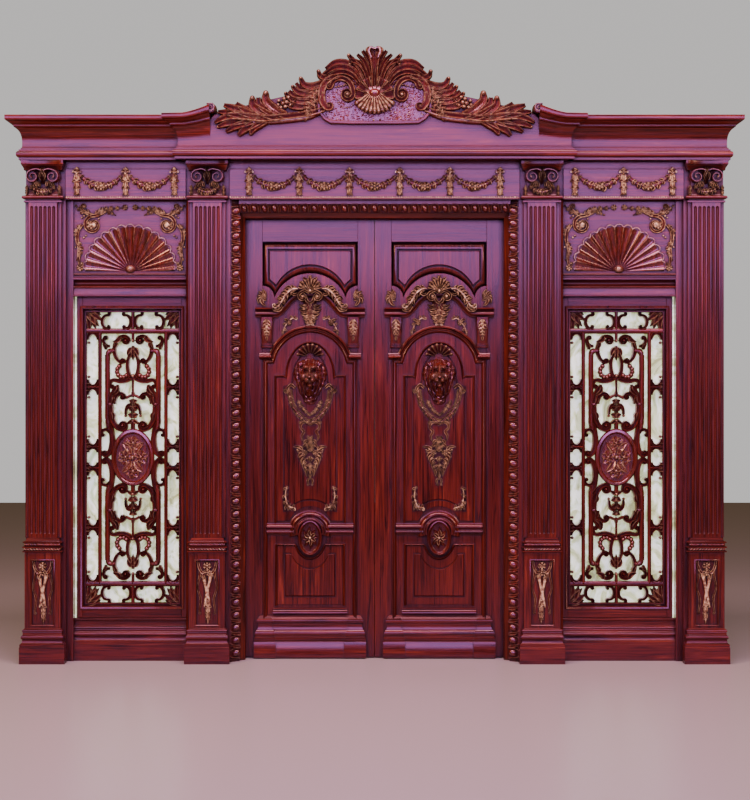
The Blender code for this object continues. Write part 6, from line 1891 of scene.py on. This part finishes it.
def grille():
    """The fretwork of a sidelight: border, bars, paired scrolls and an oval boss."""
    piece = Piece()
    piece.carving = BRONZED
    (x0, back, low), (x1, _, high) = GRILLE
    middle = ((x0 + x1) / 2, (low + high) / 2)
    piece.bed = back
    piece.sink = 0.0
    edge = 0.0085
    corners = [(x0 + edge, low + edge), (x0 + edge, high - edge), (x1 - edge, high - edge),
               (x1 - edge, low + edge)]
    section = [(-edge, 0.0), (-edge, 0.021), (-0.006, 0.0255), (0.0, 0.0255), (0.003, 0.022), (0.006, 0.022),
               (edge, 0.018), (edge, 0.0)]
    piece.frame(corners, raised(back, section), UP, True, [0, 0.4, 0.9, 0.9, 0.2, 0.5, 0.3, 0])
    for sx in (-1, 1):
        for sz in (-1, 1):
            quarter(piece, middle, sx, sz)
    x, z = middle
    for way in (-1, 1):

        def along(level, off=0.0):
            return x + off, z + way * level

        piece.frond([along(0.214), along(0.276), along(0.344)], 0.074, 0.026, 3, 0.5, 0.95, None, 0.5)
        for side in (-1, 1):
            bend = 0.15 * side * way
            piece.leaflet(along(0.600), along(0.556, side * 0.030), 0.020, 0.026, bend)
            piece.leaflet(along(0.574), along(0.532, side * 0.024), 0.018, 0.028, bend)
            piece.leaflet(along(0.204), along(0.182, side * 0.034), 0.018, 0.026)
        piece.leaflet(along(0.612), along(0.530), 0.020, 0.029)
        piece.dome(*along(0.446), 0.011, 0.013, 0.029, 0.9)
        piece.dome(*along(0.640), 0.010, 0.012, 0.028, 0.9)
        piece.dome(*along(0.200), 0.012, 0.010, 0.029, 0.9)
    piece.slab(oval(middle, (0.118, 0.157)), (back, back + 0.014), CUT, 0.003)
    rim = raised(back, [(-0.014, 0.010), (-0.014, 0.021), (-0.008, 0.029), (0.003, 0.031), (0.010, 0.026),
                        (0.014, 0.016), (0.014, 0.010)])
    piece.frame(oval(middle, (0.104, 0.143)), rim, CUT, True, [0, 0.1, 0.2, 0.45, 0.2, 0.1, 0])
    piece.bed = back + 0.012
    for k in range(4):
        turn = pi / 2 * k
        place = (x + 0.042 * cos(turn), z + 0.076 * sin(turn))
        piece.flower(*place, 0.044, 0.012, 6, 0.8, 0.3)
        piece.flower(*place, 0.024, 0.018, 5, 0.9)
    for sx, sz in ((-1, -1), (-1, 1), (1, -1), (1, 1)):
        piece.leaflet((x + sx * 0.012, z + sz * 0.018), (x + sx * 0.060, z + sz * 0.082), 0.030, 0.014,
                      0.1 * sx * sz)
    piece.dome(*middle, 0.013, 0.015, 0.026)
    piece.pair("carved_grille", ["grille"], "gilded_carving")


grille()

# ---------------------------------------------------------------- sashes


def sash():
    """A sash with its moulded opening, and the bare strip of glass beside it."""
    piece = Piece()
    (x0, back, low), (x1, face, high) = SASH
    (left, _, foot), (right, _, head) = GRILLE
    edge = 0.002
    for across in ((x0, left), (right, x1)):
        piece.block(across, (back, face), (low, high), UP, edge)
    for up in ((low, foot), (head, high)):
        piece.block((left - 0.001, right + 0.001), (back, face - 0.0004), up, FLAT, edge)
    lip = raised(face, [(0.004, -0.010), (0.006, 0.002), (0.012, 0.005), (0.017, 0.002), (0.017, -0.006)])
    piece.frame([(left, foot), (left, head), (right, head), (right, foot)], lip, UP, True)
    piece.pair("moulded_sash", ["sash"])
    strip = Piece()
    strip.carving = GLASS
    strip.block((BAY[0][0] + 0.0008, x0 - 0.0006), (back, face - 0.006), (low, high), CUT, 0.0004)
    strip.pair("glass_strip", (), "art_glass")


sash()

# ---------------------------------------------------------------- lion masks


def bulge(x, z, centre, radii, height, power):
    """Height of an ellipsoid bump over a place, and nothing outside it."""
    inside = 1 - ((x - centre[0]) / radii[0]) ** 2 - ((z - centre[1]) / radii[1]) ** 2
    return height * np.clip(inside, 0.0, 1.0) ** power


def lion_height(x, z, share, turn):
    """Height of the lion's mask over the leaf, and how far it is rubbed."""
    mirror = np.abs(x)
    mane = 0.040 * np.clip(1 - share ** 2.4, 0.0, 1.0) ** 0.6 + 0.006
    outer = np.clip((share - 0.42) / 0.18, 0.0, 1.0) * np.clip((1.02 - share) / 0.10, 0.0, 1.0)
    # locks that flow down and meet at the mane's point
    across = x / (0.092 * (1 - 0.9 * np.clip(-z / 0.185, 0.0, 1.0) ** 1.5))
    lock = np.cos(7 * pi * across + 1.5 * np.sin(30 * z))
    fine = np.cos(19 * pi * across)
    shape = mane + outer * (0.0075 * lock + 0.0020 * fine)
    worn = 0.30 + 0.30 * outer * np.clip(lock, 0.0, 1.0)
    inner = np.cos(22 * turn + 4.0 * share * np.sign(x))
    ruff = np.clip((share - 0.34) / 0.08, 0.0, 1.0) * np.clip((0.66 - share) / 0.10, 0.0, 1.0)
    shape = shape + ruff * (0.010 + 0.005 * inner)
    # the highest of these at each place: centre, radii, height and power
    for side, *part in (
            (x, (0.0, 0.004), (0.050, 0.066), 0.088, 0.42),             # face
            (mirror, (0.020, 0.034), (0.024, 0.014), 0.098, 0.4),       # brows
            (mirror, (0.034, -0.016), (0.022, 0.030), 0.090, 0.4),      # cheeks
            (x, (0.0, 0.012), (0.013, 0.046), 0.112, 0.35),             # bridge of the nose
            (x, (0.0, -0.018), (0.018, 0.012), 0.121, 0.4),             # its tip
            (mirror, (0.014, -0.036), (0.020, 0.019), 0.115, 0.45),     # muzzle
            (x, (0.0, -0.046), (0.021, 0.028), 0.093, 0.4),             # jaw
            (x, (0.0, -0.066), (0.018, 0.016), 0.106, 0.45),            # chin
            (x, (0.0, -0.094), (0.018, 0.040), 0.066, 0.5),             # beard
            (mirror, (0.052, 0.052), (0.015, 0.016), 0.056, 0.4)):      # ears
        shape = np.maximum(shape, bulge(side, z, *part))
    socket = bulge(mirror, z, (0.0205, 0.0135), (0.014, 0.010), 0.026, 1.0)
    eye = bulge(mirror, z, (0.0205, 0.0125), (0.0080, 0.0060), 0.014, 0.6)
    ear = bulge(mirror, z, (0.052, 0.052), (0.008, 0.009), 0.010, 1.0)
    mouth = bulge(x, z, (0.0, -0.0530), (0.020, 0.0050), 0.007, 0.8)
    groove = bulge(x, z, (0.0, -0.036), (0.0022, 0.014), 0.003, 0.8)
    nostril = bulge(mirror, z, (0.008, -0.0215), (0.004, 0.003), 0.006, 1.0)
    shape = shape - socket + eye - ear - mouth - groove - nostril
    worn = np.where(shape > 0.075, 0.60, worn)
    return np.maximum(shape, 0.004), np.clip(worn, 0.0, 1.0)


def lion(x, z):
    """A lion's mask in front of its scalloped shell."""
    piece = Piece()
    piece.carving = BRONZED
    piece.bed = FACE - 0.001
    shell_z = z + 0.090
    piece.fan((x, shell_z), 0.070, 7, 14, 166, 0.034, "trough", 0.30, 0.12)
    for k in range(8):
        turn = radians(14 + 152 * k / 7)
        piece.berry(x + 0.069 * cos(turn), shell_z + 0.069 * sin(turn), 0.0095, 0.034)
    count = 96
    turn = np.arange(count) / count * 2 * pi
    across, up = np.cos(turn), np.sin(turn)
    # the mane's outline: round above, and drawn to a point below
    tall = np.where(up > 0, 0.084, 0.180)
    power = np.where(up > 0, 2.0, 1.5)
    reach = (np.abs(across / 0.092) ** power + np.abs(up / tall) ** power) ** (-1 / power)
    point = np.clip(-up, 0.0, 1.0) ** 10
    reach = reach * (1 + 0.035 * np.cos(18 * turn) - 0.06 * (np.clip(-up, 0, 1) ** 2 - point))
    rings = []
    worn = []
    for share in np.concatenate([np.linspace(0.004, 0.70, 34), np.linspace(0.72, 1.0, 18)]):
        dx = reach * share * across
        dz = reach * share * up
        height, rub = lion_height(dx, dz, share, turn)
        rings.append(np.stack([x + dx, FACE + height, z + dz], 1))
        worn.append(rub)
    rings.append(np.stack([x + reach * across, np.full(count, FACE - 0.002), z + reach * up], 1))
    worn.append(np.zeros(count))
    piece.loft(rings, CUT, np.array(worn))
    return piece


lion(PANEL_X, 1.564).pair("lion_mask", (), "gilded_carving", "leaf_body")

# ---------------------------------------------------------------- carving over the shells


def spandrels():
    """Gilded rinceaux on both sides of a shell, drawn in millimetres from its hub."""
    piece = Piece()
    piece.fullness = 1.7
    middle = (BAY[0][0] + BAY[1][0]) / 2
    hub = BAY[0][2] + 0.012
    piece.bed = 0.1995
    for side in (-1, 1):

        def put(rows):
            return [(middle + side * x / 1000, hub + z / 1000) for x, z in rows]

        def vine(rows, widths, start=None, end=None, height=0.014):
            tips = [tip and (tip[0] / 1000, tip[1] * side, tip[2]) for tip in (start, end)]
            piece.scroll(put(rows), [width / 1000 for width in widths], height, *tips)

        def frond(rows, width, lobes, height=0.014):
            piece.frond(put(rows), width / 1000, height, lobes, 0.8, taper=0.4)

        vine([(96, 340), (140, 322), (176, 304), (206, 300)], [8, 11, 13, 14], None, (50, -1, 1.35))
        vine([(262, 252), (284, 214), (288, 168), (276, 124), (280, 84), (276, 40)],
             [12, 13, 13, 12, 11, 8], None, (14, -1, 0.8))
        vine([(206, 302), (240, 318), (262, 338)], [13, 12, 9], None, (16, 1, 1.0))
        frond([(190, 306), (130, 334), (40, 344)], 52, 5)
        frond([(222, 316), (262, 326), (292, 352)], 46, 3)
        frond([(268, 246), (296, 214), (296, 176)], 40, 3)
        frond([(284, 158), (270, 112), (286, 66)], 44, 4)
        frond([(150, 326), (112, 318), (84, 306)], 34, 3, 0.011)
        piece.flower(*put([(212, 250)])[0], 0.026, 0.015, 6)
        piece.flower(*put([(272, 18)])[0], 0.020, 0.014, 6)
        piece.flower(*put([(28, 346)])[0], 0.016, 0.013, 5)
        for x, z, size in ((250, 300, 7), (262, 290, 6), (240, 192, 6), (252, 182, 6), (170, 284, 6),
                           (296, 130, 6)):
            piece.berry(*put([(x, z)])[0], size / 1000, 0.012)
    piece.pair("spandrel_carving", (), "gilded_carving")


spandrels()

# ---------------------------------------------------------------- nodes that keep their CAD meshes


def dress(words, material):
    """Gives a material to the CAD nodes whose names hold one of the words."""
    for name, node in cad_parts.items():
        if any(word in name for word in words):
            node.data.materials.clear()
            node.data.materials.append(material)


dress(("",), UPRIGHT)
dress(("beam", "door_head", "transom", "frieze", "cornice", "pediment", "rail", "plinth"), ACROSS)
dress(("glass",), GLASS)
dress(("hinge",), STEEL)
